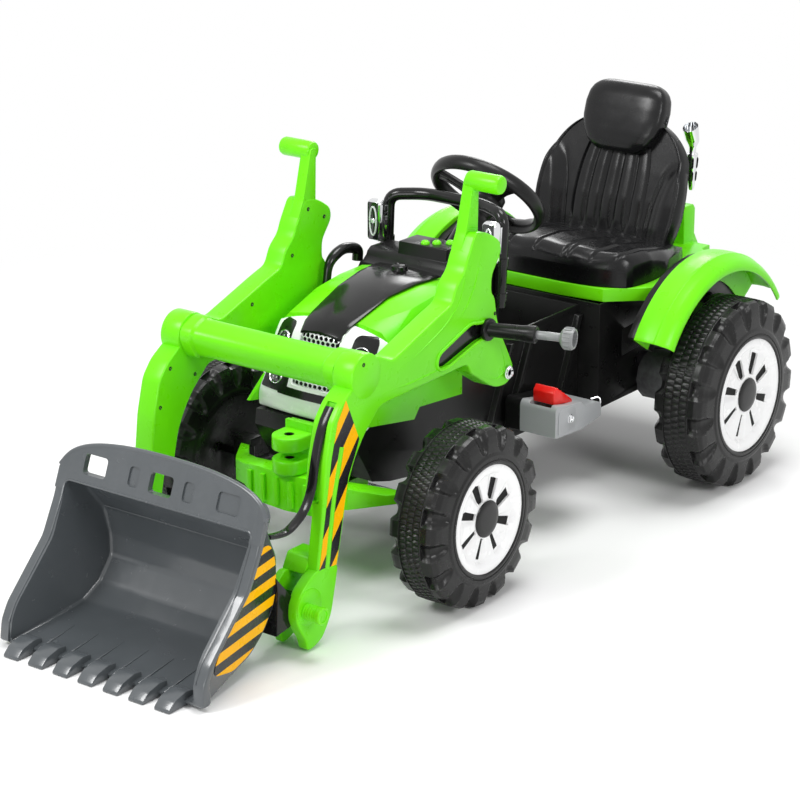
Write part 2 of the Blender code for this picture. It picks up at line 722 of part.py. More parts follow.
def build_hood(frame):
    """The green bonnet: a hollow cover with a crowned roof and a skirt over each front wheel."""
    bottom = 0.2760

    def rings(inset, drop, start, end):
        out = []
        for i, (y, half, centre, edge) in enumerate(HOOD_STATIONS):
            y = start if i == 0 else end if i == len(HOOD_STATIONS) - 1 else y
            roof = hood_section(half - inset, centre - inset, edge - inset)
            right = [(-x, y, z) for x, z in reversed(roof)]
            left = [(x, y, z) for x, z in roof[1:]]
            low = bottom - drop
            out.append([(inset - half, y, low)] + right + left + [(half - inset, y, low)])
        return out

    hood = add_piece("hood_shell", skin(rings(0, 0, HOOD_STATIONS[0][0], HOOD_STATIONS[-1][0])), frame, GREEN)
    skirt = [(0.0450, 0.2950), (0.0450, 0.2410), (-0.0620, 0.2500), (-0.0750, 0.2340), (-0.2050, 0.2560),
             (-0.1650, 0.2880)]
    for side in (1, -1):
        join(hood, plate(skirt, *flip_side(side, NOSE_HALF_WIDTH + 2 * GAP, SKIRT_X)), frame)
    cut(hood, skin(rings(WALL, 0.05, -0.1230, 0.0700)), frame)


def build_hood_panel(frame):
    """The black centre panel that lies on the bonnet and the cowl, with a filler cap at its rear."""
    rows = [(-0.1625, 0.0365), (-0.1480, 0.0395), (-0.1275, 0.0422), (-0.0600, 0.0470), (0.0000, 0.0541),
            (0.0500, 0.0600)]
    rings = []
    for y, half in rows:
        under = [(x, y, cover_height(x, y) + PANEL_SEAT) for x in (-half, -half / 2, 0.0, half / 2, half)]
        lift = ((-half, 0.6), (-half * 0.85, 1.0), (0.0, 1.0), (half * 0.85, 1.0), (half, 0.6))
        over = [(x, y, cover_height(x, y) + PANEL_SEAT + PANEL_THICKNESS * share) for x, share in lift]
        rings.append(under + list(reversed(over)))
    panel = add_piece("hood_centre_panel", skin(rings), frame, BLACK, 0.2)
    join(panel, tube([(0.0, 0.030, 0.4165), (0.0, 0.030, 0.427), (0.0, 0.030, 0.429)], [0.012, 0.012, 0.009],
                     12), frame)


def nose_outline(x):
    """The nose's side outline at one distance from the middle: it bows back towards the corners."""
    bow = (x / NOSE_HALF_WIDTH) ** 2
    drop = 0.0185 * bow
    return [(NOSE_REAR_Y, 0.3855 - drop), (-0.1470 + 0.0130 * bow, 0.3800 - drop),
            (-0.1640 + 0.0190 * bow, 0.3640 - drop), (-0.1880 + 0.0180 * bow, 0.2890),
            (-0.1970 + 0.0120 * bow, 0.2690), (-0.1970 + 0.0120 * bow, 0.2465), (-0.1800, 0.2440),
            (NOSE_REAR_Y, 0.2780)]


def face_point(x, z):
    """The point of the nose's face at this x and height."""
    outline = nose_outline(x)
    for (y_a, z_a), (y_b, z_b) in zip(outline[1:6], outline[2:6]):
        if z_b <= z <= z_a:
            share = (z_a - z) / (z_a - z_b)
            return y_a + (y_b - y_a) * share
    return outline[2][0]


def build_nose(frame):
    """The white nose cowl with the grille opening and four lamp seats."""
    places = (0.0, 0.036, 0.058, 0.080, 0.094, NOSE_HALF_WIDTH)
    nose = add_piece("nose_cowl", across([(x, nose_outline(x)) for x in places]), frame, WHITE, 0.25)
    pocket = [(-0.220, 0.2900), (-0.220, 0.3610), (-0.1550, 0.3610), (-0.1700, 0.2900)]
    cut(nose, plate(pocket, -GRILLE_HALF_WIDTH, GRILLE_HALF_WIDTH), frame)
    for side in (1, -1):
        for x, z, radius in (UPPER_LAMP, LOWER_LAMP):
            y = face_point(x, z)
            seat = tube([(side * x, y - 0.03, z), (side * x, y + LAMP_DEPTH, z)], radius, 14)
            cut(nose, seat, frame)
    hollow = [(-0.1000, 0.3750), (-0.1330, 0.3700), (-0.1400, 0.3400), (-0.1450, 0.2850), (-0.1000, 0.2600)]
    cut(nose, plate(hollow, -0.088, 0.088), frame)


def build_lamps(frame):
    """Four round lamps that sit in the nose's seats."""
    for side in (1, -1):
        for kind, (x, z, radius) in (("upper", UPPER_LAMP), ("lower", LOWER_LAMP)):
            y = face_point(x, z)
            path = [(side * x, y + LAMP_DEPTH - GAP, z), (side * x, y + 0.001, z), (side * x, y - 0.003, z)]
            lens = radius - GAP
            lamp = tube(path, [lens, lens, lens * 0.6], 14)
            add_piece(f"{kind}_lamp_{side_name(side)}", lamp, frame, CHROME, 0.1, 0.6)


def build_grille(frame):
    """A frame with rows of openings, leaning with the nose."""
    low, high = GRILLE_LOW_Z + GAP, GRILLE_HIGH_Z - GAP
    half = GRILLE_HALF_WIDTH - GAP

    def leaning(z):
        return -0.1560 - (GRILLE_HIGH_Z - z) * GRILLE_LEAN

    section = [(leaning(low) - 0.0120, low), (leaning(high) - 0.0090, high), (leaning(high) - 0.0007, high),
               (leaning(low) + 0.0055, low)]
    grille = add_piece("grille", plate(section, -half, half), frame, DARK_GREY, 0.25, 0.6)
    rows, columns = 5, 4
    cell_z = (high - low - 0.010) / rows
    cell_x = (2 * half - 0.010) / columns
    holes = bmesh.new()
    for row in range(rows):
        for column in range(columns):
            x = -half + 0.005 + (column + 0.5) * cell_x
            z = low + 0.005 + (row + 0.5) * cell_z
            y = leaning(z)
            wide, tall = cell_x * 0.36, cell_z * 0.36
            box((x - wide, y - 0.030, z - tall), (x + wide, y - 0.004, z + tall), bm=holes)
    cut(grille, holes, frame)


def build_dashboard(frame):
    """The stepped dashboard behind the bonnet, bored for the steering shaft."""
    steps = [(0.0560, 0.3010), (0.0560, 0.4080), (0.0750, 0.4120), (0.0820, 0.4280), (0.1400, 0.4280),
             (0.1480, 0.4200), (0.1480, 0.3010)]
    dash = add_piece("dashboard", plate(eased(steps, 0.006, 1), -0.100, 0.100), frame, BLACK, 0.4)
    console = [(0.0840, 0.4200), (0.0880, BUTTON_SEAT_Z), (0.1340, BUTTON_SEAT_Z), (0.1390, 0.4200)]
    join(dash, plate(console, -0.045, 0.045), frame)
    hub = Vector((0, *STEERING_HUB))
    down = steering_axis()
    cut(dash, tube([hub + down * 0.09, hub + down * 0.40], SHAFT_RADIUS + RUNNING_GAP, 12), frame)
    seat = tube([hub + down * 0.05, hub + down * 0.1285], 0.0275, 14)
    cut(dash, seat, frame)
    for x, y in BUTTON_PLACES:
        cut(dash, tube([(x, y, BUTTON_SEAT_Z - 0.012), (x, y, BUTTON_SEAT_Z + 0.01)],
                       BUTTON_RADIUS + GAP, 12), frame)
    inner = [(0.0600, 0.2900), (0.0600, 0.3900), (0.0750, 0.4050), (0.1440, 0.4050), (0.1440, 0.2900)]
    for side in (1, -1):
        cut(dash, plate(inner, *flip_side(side, 0.034, 0.096)), frame)


def build_buttons(frame):
    for number, (x, y) in enumerate(BUTTON_PLACES, 1):
        holder = add_holder(f"button_{number}_seat", (x, y, BUTTON_SEAT_Z), frame)
        path = [(x, y, BUTTON_SEAT_Z + level) for level in (-0.0085, 0.0020, 0.0055)]
        radii = [BUTTON_RADIUS, BUTTON_RADIUS, BUTTON_RADIUS * 0.6]
        add_piece(f"dash_button_{number}", tube(path, radii, 12), holder, GREEN)


def hoop_path():
    corners = [(-HOOP_X, 0.138, 0.3560), (-HOOP_X, 0.146, 0.497), (-0.055, 0.168, 0.501),
               (0.055, 0.168, 0.501), (HOOP_X, 0.146, 0.497), (HOOP_X, 0.138, 0.3560)]
    return eased(corners, 0.022, 2, closed=False)


def build_hoop(frame):
    """The black guard hoop that stands beside the dashboard, and the square lamp in front of each post."""
    add_piece("dash_hoop", tube(hoop_path(), HOOP_RADIUS, 8), frame, BLACK, 0.35)
    for side in (1, -1):
        low, high = flip_side(side, 0.095, 0.1225)
        name = f"hoop_lamp_{side_name(side)}"
        lamp = add_piece(name, box((low, 0.1040, 0.4287), (high, 0.1240, 0.4955), 0.004, 1),
                         frame, CHROME, 0.1, 1.0)
        low, high = flip_side(side, HOOP_X - 0.005, HOOP_X + 0.005)
        join(lamp, box((low, 0.1220, 0.4400), (high, 0.1420, 0.4820)), frame)
        cut(lamp, tube(hoop_path(), HOOP_RADIUS + GAP, 8), frame)


# Loader

ARM_OUTLINE = [
    (-0.040, 0.483), (-0.047, 0.466), (-0.066, 0.450), (-0.078, 0.424), (-0.111, 0.414), (-0.218, 0.377),
    (-0.255, 0.3935), (-0.336, 0.343), (-0.355, 0.320), (-0.369, 0.268), (-0.376, 0.2135), (-0.390, 0.130),
    (-0.343, 0.130), (-0.328, 0.190), (-0.318, 0.2306), (-0.304, 0.258), (-0.284, 0.2845), (-0.247, 0.318),
    (-0.038, 0.3235), (-0.031, 0.308), (0.022, 0.274), (0.040, 0.267), (0.064, 0.266), (0.078, 0.276),
    (0.0795, 0.292), (0.0656, 0.318), (0.0455, 0.352), (0.036, 0.376), (0.030, 0.410), (0.021, 0.4186),
    (0.022, 0.445), (0.0445, 0.474), (0.0430, 0.492), (0.022, 0.506), (0.0045, 0.514), (-0.0195, 0.518),
]
POST_OUTLINE = [(-0.034, 0.490), (-0.0215, 0.516), (-0.002, 0.588), (0.0065, 0.588), (0.0045, 0.510),
                (0.0200, 0.495)]


def build_arms(lift):
    """The two side arms of the loader: moulded plates with a post and a grip for the hand."""
    for side in (1, -1):
        name = f"arm_{side_name(side)}"
        body = plate(eased(ARM_OUTLINE, 0.005, 1), *flip_side(side, ARM_INNER_X, ARM_OUTER_X))
        arm = add_piece(name, body, lift, GREEN)
        join(arm, bar_x(CROSSBAR_PLACE, KNUCKLE_RADIUS, *flip_side(side, ARM_INNER_X, ARM_OUTER_X), 16), lift)
        join(arm, plate(POST_OUTLINE, *flip_side(side, ARM_INNER_X + 0.0005, POST_OUTER_X)), lift)
        low, high = flip_side(side, ARM_INNER_X + 0.004, GRIP_REACH_X)
        join(arm, bar_x(GRIP_PLACE, GRIP_RADIUS, low, high, 12), lift)
        cut(arm, bar_x(ARM_PIVOT, ARM_SHAFT_RADIUS + GAP, *flip_side(side, 0.13, 0.20), 12), lift)
        recess = [(-0.116, 0.338), (-0.112, 0.357), (-0.030, 0.385), (-0.012, 0.380), (0.014, 0.378),
                  (0.018, 0.366), (0.012, 0.354), (-0.016, 0.351), (-0.098, 0.329)]
        cut(arm, plate(eased(recess, 0.008, 2), *flip_side(side, ARM_OUTER_X - SLOT_DEPTH, 0.190)), lift)
        middle = (ARM_INNER_X + ARM_OUTER_X) / 2
        groove = [(-0.370, 0.322), (-0.350, 0.330), (-0.359, 0.268), (-0.366, 0.2135), (-0.372, 0.180),
                  (-0.400, 0.180), (-0.385, 0.268)]
        if side > 0:
            cut(arm, plate(groove, middle - STRIP_HALF - GAP, middle + STRIP_HALF + GAP), lift)


def build_crossbar(lift):
    reach = ARM_INNER_X - GAP
    path = [(-reach, *CROSSBAR_PLACE), (-0.121, *CROSSBAR_PLACE), (-0.119, *CROSSBAR_PLACE),
            (0.119, *CROSSBAR_PLACE), (0.121, *CROSSBAR_PLACE), (reach, *CROSSBAR_PLACE)]
    sleeve = CROSSBAR_RADIUS + 0.003
    radii = [sleeve, sleeve, CROSSBAR_RADIUS, CROSSBAR_RADIUS, sleeve, sleeve]
    add_piece("crossbar", tube(path, radii, 14), lift, GREEN)


def build_arm_shaft(frame):
    """The fixed shaft that the arms turn on, with a bolt head outside each arm."""
    end = ARM_OUTER_X + 0.001
    shaft = add_piece("arm_pivot_shaft", bar_x(ARM_PIVOT, ARM_SHAFT_RADIUS, -end, end, 12),
                      frame, CHROME, 0.15, 1.0)
    for side in (1, -1):
        join(shaft, bar_x(ARM_PIVOT, 0.0105, *flip_side(side, end - 0.0006, end + 0.006), 12), frame)
    hub = Vector((0, *STEERING_HUB))
    down = steering_axis()
    cut(shaft, tube([hub + down * 0.20, hub + down * 0.35], SHAFT_RADIUS + RUNNING_GAP, 12), frame)


BRACKET_OUTLINE = [
    (-0.3885, 0.1297), (-0.4265, 0.091), (-0.438, 0.078), (-0.440, 0.060), (-0.434, 0.042), (-0.419, 0.018),
    (-0.416, 0.003), (-0.404, 0.003), (-0.383, 0.011), (-0.371, 0.027), (-0.3615, 0.044), (-0.352, 0.097),
    (-0.347, 0.1297),
]


def build_brackets(lift):
    """A two-plate bracket at the foot of each arm, with the ribbed pin that the bucket turns on."""
    for side in (1, -1):
        outer = flip_side(side, BRACKET_OUTER_X, ARM_OUTER_X)
        bracket = add_piece(f"bracket_{side_name(side)}", plate(BRACKET_OUTLINE, *outer), lift, GREEN)
        inner = flip_side(side, BRACKET_INNER_X, BRACKET_INNER_X + BRACKET_PLATE)
        join(bracket, plate(BRACKET_OUTLINE[1:-1], *inner), lift)
        bridge = [(-0.3870, 0.1290), (-0.4000, 0.1150), (-0.3660, 0.1000), (-0.3500, 0.1050),
                  (-0.3480, 0.1290)]
        join(bracket, plate(bridge, *flip_side(side, BRACKET_INNER_X + 0.001, ARM_OUTER_X - 0.001)), lift)
        reach = (BRACKET_INNER_X + 0.002, 0.184, 0.1845, 0.194, 0.1945, PIN_REACH_X)
        path = [(side * x, *BUCKET_PIVOT) for x in reach]
        radii = [PIN_RADIUS + (0.0014 if i in (2, 3) else 0.0) for i in range(len(reach))]
        join(bracket, tube(path, radii, 10), lift)


MOUTH_TOP = Vector((-0.5105, 0.250))
MOUTH_LIP = Vector((-0.6530, 0.006))
FLANGE_FRONT = [(-0.5000, BUCKET_TOP_Z), (-0.5105, 0.250), (-0.5340, 0.188), (-0.5600, 0.137),
                (-0.5980, 0.098), (-0.6350, 0.060), (-0.6480, 0.037), (-0.6530, 0.006)]
HULL_BACK = [(-0.4960, 0.2150), (-0.4780, 0.1830), (-0.4625, 0.1600), (-0.4560, 0.1150), (-0.4590, 0.0820),
             (-0.4850, 0.0480), (-0.5180, 0.0270), (-0.5600, 0.0180), (-0.6300, 0.0015)]


def hull_width(y, z):
    """The hull's half width at a point of its side outline: the walls draw in towards the back."""
    along = (MOUTH_LIP - MOUTH_TOP).normalized()
    inward = Vector((-along.y, along.x))
    depth = max(0.0, (Vector((y, z)) - MOUTH_TOP).dot(inward))
    return BUCKET_MOUTH_HALF_WIDTH - BUCKET_DRAFT * depth


def drafted(outline, thinner=0.0):
    rings = [[(side * (hull_width(y, z) - thinner), y, z) for y, z in outline] for side in (-1, 1)]
    return skin(rings)


def moved(points, dy, dz):
    return [(y + dy, z + dz) for y, z in points]


def build_bucket(tilt):
    """The bucket: a drafted hull, a flange round its mouth, windows, teeth and two pivot lugs."""
    front = FLANGE_FRONT[2:-1]
    outer = front + [(-0.6490, 0.0020)] + list(reversed(HULL_BACK)) + [(-0.5160, 0.2250)]
    bucket = add_piece("bucket", drafted(outer), tilt, DARK_GREY, 0.35)
    back = FLANGE_DEPTH
    behind = moved(reversed(FLANGE_FRONT[2:-1]), back * 0.86, back * 0.25)
    flange = FLANGE_FRONT[1:] + [(-0.6330, 0.006)] + behind + [(-0.4965, 0.250)]
    for side in (1, -1):
        join(bucket, plate(flange, *flip_side(side, 0.1745, BUCKET_HALF_WIDTH)), tilt)
    crown = []
    for x, z in ((0.0, BUCKET_TOP_Z), (0.137, BUCKET_TOP_Z), (0.160, 0.272), (0.178, 0.262),
                 (BUCKET_HALF_WIDTH, 0.249)):
        y = FLANGE_FRONT[1][0] + 0.379 * (z - 0.250)
        crown.append((x, [(-0.5300, 0.2000), (y, z), (y + 0.009, z), (-0.5210, 0.2000)]))
    join(bucket, across(crown), tilt)
    hollow = [(-0.5290, 0.2130), (-0.5070, 0.2100), (-0.4905, 0.2080)]
    hollow += [(-0.4830, 0.1830), (-0.4670, 0.1590), (-0.4603, 0.1150), (-0.4633, 0.0840), (-0.4880, 0.0520),
               (-0.5200, 0.0313), (-0.5600, 0.0223), (-0.6700, 0.0060), (-0.7000, 0.0300)]
    hollow += [(-0.6800, 0.0900), (-0.6200, 0.1800), (-0.5700, 0.2130)]
    cut(bucket, drafted(hollow, BUCKET_WALL + 0.004), tilt)
    for x in (-0.122, 0.0):
        cut(bucket, box((x - 0.021, -0.560, 0.226), (x + 0.021, -0.480, 0.2535)), tilt)
    for x, half in ((-0.050, 0.0095), (0.050, 0.0095), (0.122, 0.020)):
        blind = [(-0.5600, 0.2250), (-0.5600, 0.2560), (-0.5060, 0.2560), (-0.5175, 0.2250)]
        cut(bucket, plate(blind, x - half, x + half), tilt)
    tooth = [(-0.6300, 0.0010), (TEETH_TIP_Y, 0.0), (TEETH_TIP_Y, 0.004), (-0.6680, 0.0150),
             (-0.6450, 0.0205), (-0.6300, 0.0160)]
    for number in range(TEETH_COUNT):
        x = (number - (TEETH_COUNT - 1) / 2) * TEETH_PITCH
        join(bucket, plate(tooth, x - TOOTH_WIDTH / 2, x + TOOTH_WIDTH / 2), tilt)
    for side in (1, -1):
        low = BRACKET_INNER_X + BRACKET_PLATE + GAP
        high = BRACKET_OUTER_X - GAP
        lug = [(-0.4700, 0.0420), (-0.4700, 0.1250),
               (-0.4300, 0.0860)] + arc(BUCKET_PIVOT, 0.021, 60, -100, 8)
        join(bucket, plate(lug, *flip_side(side, low, high)), tilt)
        cut(bucket, bar_x(BUCKET_PIVOT, PIN_RADIUS + 2 * GAP, *flip_side(side, 0.10, 0.18), 12), tilt)


def build_tilt_strip(lift):
    """The flexible push strip: it leaves the groove of the left arm and reaches the bucket's back."""
    middle = (ARM_INNER_X + ARM_OUTER_X) / 2
    run = [(-0.3545, 0.3190), (-0.3650, 0.3000), (-0.3740, 0.2680), (-0.3820, 0.2280), (-0.4000, 0.2000),
           (-0.4350, 0.1830), (-0.4620, 0.1860), (-0.4785, 0.1900)]
    path = [Vector((0, *point)) for point in eased(run, 0.012, 2, closed=False)]
    rings = []
    for i, point in enumerate(path):
        along = (path[min(i + 1, len(path) - 1)] - path[max(i - 1, 0)]).normalized()
        thick = along.cross(Vector((1, 0, 0))) * STRIP_THICKNESS / 2
        corners = ((1, 1), (1, -1), (-1, -1), (-1, 1))
        rings.append([point + thick * a + Vector((middle + STRIP_HALF * b, 0, 0)) for a, b in corners])
    add_piece("tilt_strip", skin(rings), lift, BLACK, 0.35)


def build_tilt_lever(lift):
    """The hand lever that slides along the left arm: a guard disc, a ribbed grip, a rod and an end cup."""
    holder = add_holder("tilt_lever_seat", (ARM_OUTER_X, *LEVER_PLACE), lift)
    y, z = LEVER_PLACE
    lean = (0.0425, 0.0)
    start = Vector((ARM_OUTER_X + GAP, y, z))
    end = Vector((0.323, y + lean[0], z + lean[1]))
    along = (end - start).normalized()

    def at(x):
        return start + along * ((x - start.x) / along.x)

    lever = add_piece("tilt_lever", bar_x((y, z), 0.017, ARM_OUTER_X + GAP, 0.184, 12), holder, BLACK, 0.4)
    join(lever, bar_x((y, z), STUD_RADIUS, ARM_OUTER_X - SLOT_DEPTH + 2 * GAP, 0.180, 10), holder)
    reach = [0.182, 0.190]
    radii = [0.0085, 0.0085]
    for rib in range(3):
        x = 0.190 + rib * 0.0220
        reach += [x + 0.0005, x + 0.012, x + 0.0125, x + 0.0220]
        radii += [0.0102, 0.0102, 0.0085, 0.0085]
    reach += [0.2580, 0.3030]
    radii += [0.0062, 0.0062]
    join(lever, tube([at(x) for x in reach], radii, 8), holder)
    join(lever, tube([at(0.298), at(0.303), at(0.323)], [0.0115, 0.0150, 0.0150], 10), holder)
    cut(lever, tube([at(0.309), at(0.330)], 0.0118, 10), holder)


# Driver's place

def build_gear_lever(frame):
    """The hooked lever on the right of the bonnet, on its own pivot boss."""
    x = -0.1225
    root = (x, 0.004, 0.3640)
    holder = add_holder("gear_lever_pivot", root, frame)
    corners = [(x, 0.004, 0.3640), (x, 0.013, 0.4200), (x, 0.050, 0.4330), (x, 0.088, 0.4210),
               (x, 0.084, 0.3980)]
    lever = add_piece("gear_lever", tube(eased(corners, 0.016, 2, closed=False), 0.0062, 7),
                      holder, BLACK, 0.35)
    join(lever, bar_x(root[1:], 0.0105, x - 0.008, -0.1056, 12), holder)


def deck_outline():
    """The deck's plan: bowed in front, then running out to the arches on both sides."""
    left = [(0.060, 0.3820), (0.1325, 0.3900), (0.1800, 0.4350), (ARCH_INNER_X - GAP, 0.4620),
            (ARCH_INNER_X - GAP, 0.6200), (0.1350, 0.6900), (0.1350, 0.7150)]
    return left + [(-x, y) for x, y in reversed(left)]


def build_seat_base(frame):
    """The green deck under the seat, with a tail pod on each side behind the seat."""
    low, high = DECK_SEAT_Z + GAP, SEAT_DECK_Z
    base = add_piece("seat_base", skin([[(x, y, z) for x, y in deck_outline()] for z in (low, high)]),
                     frame, GREEN)
    pod = [(0.6900, low), (0.6860, 0.3850), (0.6920, 0.3925), (0.7160, 0.3925), (0.7218, 0.3850),
           (0.7218, 0.3420), (REAR_END_Y, 0.3220), (REAR_END_Y, 0.3120), (0.7300, low)]
    for side in (1, -1):
        join(base, plate(pod, *flip_side(side, 0.045, 0.100)), frame)
    cut(base, box((-0.120, 0.405, low - 0.01), (0.120, 0.480, high - WALL)), frame)
    cut(base, box((-0.185, 0.475, low - 0.01), (0.185, 0.620, high - WALL)), frame)


CUSHION_COLUMNS = ((0.0, 1.0), (0.16, 0.0), (0.325, 1.0), (0.42, 0.0), (0.52, 1.0), (0.72, 0.0), (0.93, 0.4),
                   (1.0, 2.6))
CUSHION_ROWS = ((0.3850, 0.160, 0.3460, 0.000), (0.3885, 0.162, 0.3600, 0.003),
                (0.3990, 0.165, 0.3730, 0.005), (0.4200, 0.169, 0.3800, 0.005),
                (0.4650, SEAT_HALF_WIDTH, 0.3790, 0.005), (0.5250, 0.170, 0.3680, 0.004),
                (0.5750, 0.160, 0.3560, 0.002), (0.6000, 0.150, 0.3530, 0.001))


def build_seat_cushion(frame):
    """The seat pan, with a rounded front and sewn-look channels."""
    columns = [(-u, sink) for u, sink in reversed(CUSHION_COLUMNS[1:])] + list(CUSHION_COLUMNS)
    foot_z = SEAT_DECK_Z + GAP
    rings = []
    for y, half, z, channel in CUSHION_ROWS:
        bow = 0.030 * max(0.0, 1 - (y - CUSHION_ROWS[0][0]) / 0.10)
        ring = []
        for u, sink in columns:
            crown = 0.005 * (1 - u * u)
            ring.append((u * half, y + bow * u**4, max(z + crown - channel * sink, foot_z + 0.004)))
        foot_y = y + bow
        rings.append([(-half, foot_y, foot_z)] + ring + [(half, foot_y, foot_z)])
    cushion = add_piece("seat_cushion", skin(rings), frame, BLACK, 0.25)
    cut(cushion, skin(back_rings(0.0006)), frame)


def back_frame():
    """The seat back's foot, its upward direction and its forward direction."""
    up = Vector((0, math.sin(SEAT_BACK_LEAN), math.cos(SEAT_BACK_LEAN)))
    forward = Vector((0, -math.cos(SEAT_BACK_LEAN), math.sin(SEAT_BACK_LEAN)))
    return Vector((0, *SEAT_BACK_FOOT)), up, forward


BACK_ROWS = ((-0.040, 0.126, 0.012), (0.0, 0.130, 0.014), (0.020, 0.141, 0.017), (0.060, 0.141, 0.019),
             (0.110, 0.135, 0.017), (0.150, 0.120, 0.014), (0.175, 0.101, 0.012), (0.192, 0.075, 0.009),
             (0.200, 0.043, 0.006))
BACK_COLUMNS = 12
HEADREST_ROWS = ((0.136, 0.040, 0.010, 0.020), (0.145, 0.056, 0.017, 0.018), (0.187, 0.080, 0.024, 0.015),
                 (0.212, 0.081, 0.024, 0.014), (0.240, 0.072, 0.022, 0.012), (0.250, 0.061, 0.016, 0.011),
                 (0.254, 0.046, 0.009, 0.010))


def back_rings(extra=0.0):
    """Rings up the seat back: bolsters at the sides and upright channels, or all of it thicker by extra."""
    foot, up, forward = back_frame()
    rings = []
    for height, half, depth in BACK_ROWS:
        ring = []
        for i in range(BACK_COLUMNS + 1):
            u = -1 + 2 * i / BACK_COLUMNS
            swell = 0.013 if height < 0.16 else 0.005
            bolster = swell * abs(u) ** 3 if abs(u) < 0.95 else 0.006 - depth
            groove = 0.005 if i % 2 == 0 and abs(u) < 0.75 and height > 0.01 and not extra else 0.0
            out = Vector((u * (half + extra), 0, 0)) + forward * (depth + bolster - groove + extra)
            ring.append(foot + up * height + out)
        for u, rear in ((1.0, -0.003), (0.6, -0.012), (-0.6, -0.012), (-1.0, -0.003)):
            ring.append(foot + up * height + Vector((u * (half + extra), 0, 0)) + forward * (rear - extra))
        rings.append(ring)
    return rings


def build_seat_back(frame):
    """The tall back shell, cut flat where it stands on the seat base."""
    back = add_piece("seat_back", skin(back_rings()), frame, BLACK, 0.25)
    cut(back, box((-0.2, 0.50, 0.25), (0.2, 0.70, SEAT_DECK_Z + GAP)), frame)


def build_headrest(frame):
    """The headrest pad, which fits over the back's top edge."""
    foot, up, forward = back_frame()
    sides = 12
    rings = []
    for height, half, deep, lead in HEADREST_ROWS:
        centre = foot + up * height + forward * lead
        ring = []
        for k in range(sides):
            t = 2 * math.pi * k / sides
            squared = 1 / max(abs(math.cos(t)), abs(math.sin(t))) ** 0.6
            flat = math.sin(t) * squared * deep
            ring.append(centre + Vector((math.cos(t) * squared * half, 0, 0)) + forward * flat)
        rings.append(ring)
    rest = add_piece("headrest", skin(rings), frame, BLACK, 0.25)
    cut(rest, skin(back_rings(0.0005)), frame)


def build_fenders(frame):
    """The two mudguards: an arched shell with a turned-down outer edge."""
    y, z = REAR_WHEEL.axle_y, REAR_WHEEL.axle_z
    width = FENDER_OUTER_X - FENDER_INNER_X
    section = [(0.0, -0.048), (0.0, 0.0), (0.40, 0.001), (0.80, -0.005), (1.0, -0.017), (1.0, -0.025)]
    inset = [(1, 0), (1, -1), (0, -1), (-0.3, -1), (-1, -0.6), (-1, 0)]
    for side in (1, -1):
        rings = []
        steps = 12
        for step in range(steps + 1):
            t = math.radians(147 + (35 - 147) * step / steps)
            outer = [(FENDER_INNER_X + width * u, FENDER_RADIUS + r) for u, r in section]
            inner = [(x + a * FENDER_WALL, r + b * FENDER_WALL) for (x, r), (a, b) in zip(outer, inset)]
            ring = outer + list(reversed(inner))
            rings.append([(side * x, y + r * math.cos(t), z + r * math.sin(t)) for x, r in ring])
        add_piece(f"fender_{side_name(side)}", skin(rings), frame, GREEN)


def build_exhaust(frame):
    """The chrome stack behind the seat: a tapered silencer, a neck, a flared mouth and its stay."""
    x, y = 0.095, 0.714
    levels = (0.4170, 0.4200, 0.4780, 0.4800, 0.4950, 0.5130, 0.5330)
    radii = [0.0035, 0.0050, 0.0100, 0.0062, 0.0062, 0.0130, 0.0175]
    path = [(x, y - (0.006 if z > 0.51 else 0.0), z) for z in levels]
    stack = add_piece("exhaust_stack", tube(path, radii, 12), frame, CHROME, 0.1, 1.0)
    cut(stack, tube([(x, y - 0.002, 0.5080), (x, y - 0.006, 0.5160), (x, y - 0.006, 0.5420)],
                    [0.006, 0.0120, 0.0180], 12), frame)
    stay = [(x, y, 0.4500), (0.0640, 0.7060, 0.4500), (0.0620, 0.7060, 0.4450),
            (0.0620, 0.7060, 0.3925 + GAP)]
    join(stack, tube(stay, 0.0045, 8), frame)


def build_foot_rests(frame):
    """The grey step on each side, with a socket at the back of the left one for the pedal's spring."""
    for side in (1, -1):
        low, high = flip_side(side, TUB_HALF_WIDTH + RIB_REACH + GAP, 0.200)
        outline = [(0.160, 0.155), (0.160, 0.200), (0.168, 0.207), (0.215, 0.200), (0.262, 0.196),
                   (0.270, 0.189), (0.330, 0.183), (0.338, 0.176), (0.338, 0.158), (0.262, 0.151)]
        step = add_piece(f"foot_rest_{side_name(side)}", plate(eased(outline, 0.004, 2), low, high),
                         frame, LIGHT_GREY, 0.45)
        cut(step, box((low + 0.004, 0.166, 0.140), (high - 0.004, 0.330, 0.176)), frame)
        if side > 0:
            well = [(0.1640, 0.1980), (0.1640, 0.230), (0.2200, 0.230), (0.2200, 0.1905)]
            cut(step, plate(well, PEDAL_SPAN_X[0] - GAP, PEDAL_SPAN_X[1] + GAP), frame)


def build_pedal(frame):
    holder = add_holder("pedal_hinge", (0.169, *PEDAL_PIVOT), frame)
    outline = [(0.2170, 0.1955), (0.1660, 0.2040), (0.1650, 0.2170), (0.1730, 0.2230), (0.2170, 0.2010)]
    add_piece("drive_pedal", plate(outline, *PEDAL_SPAN_X), holder, RED, 0.3)


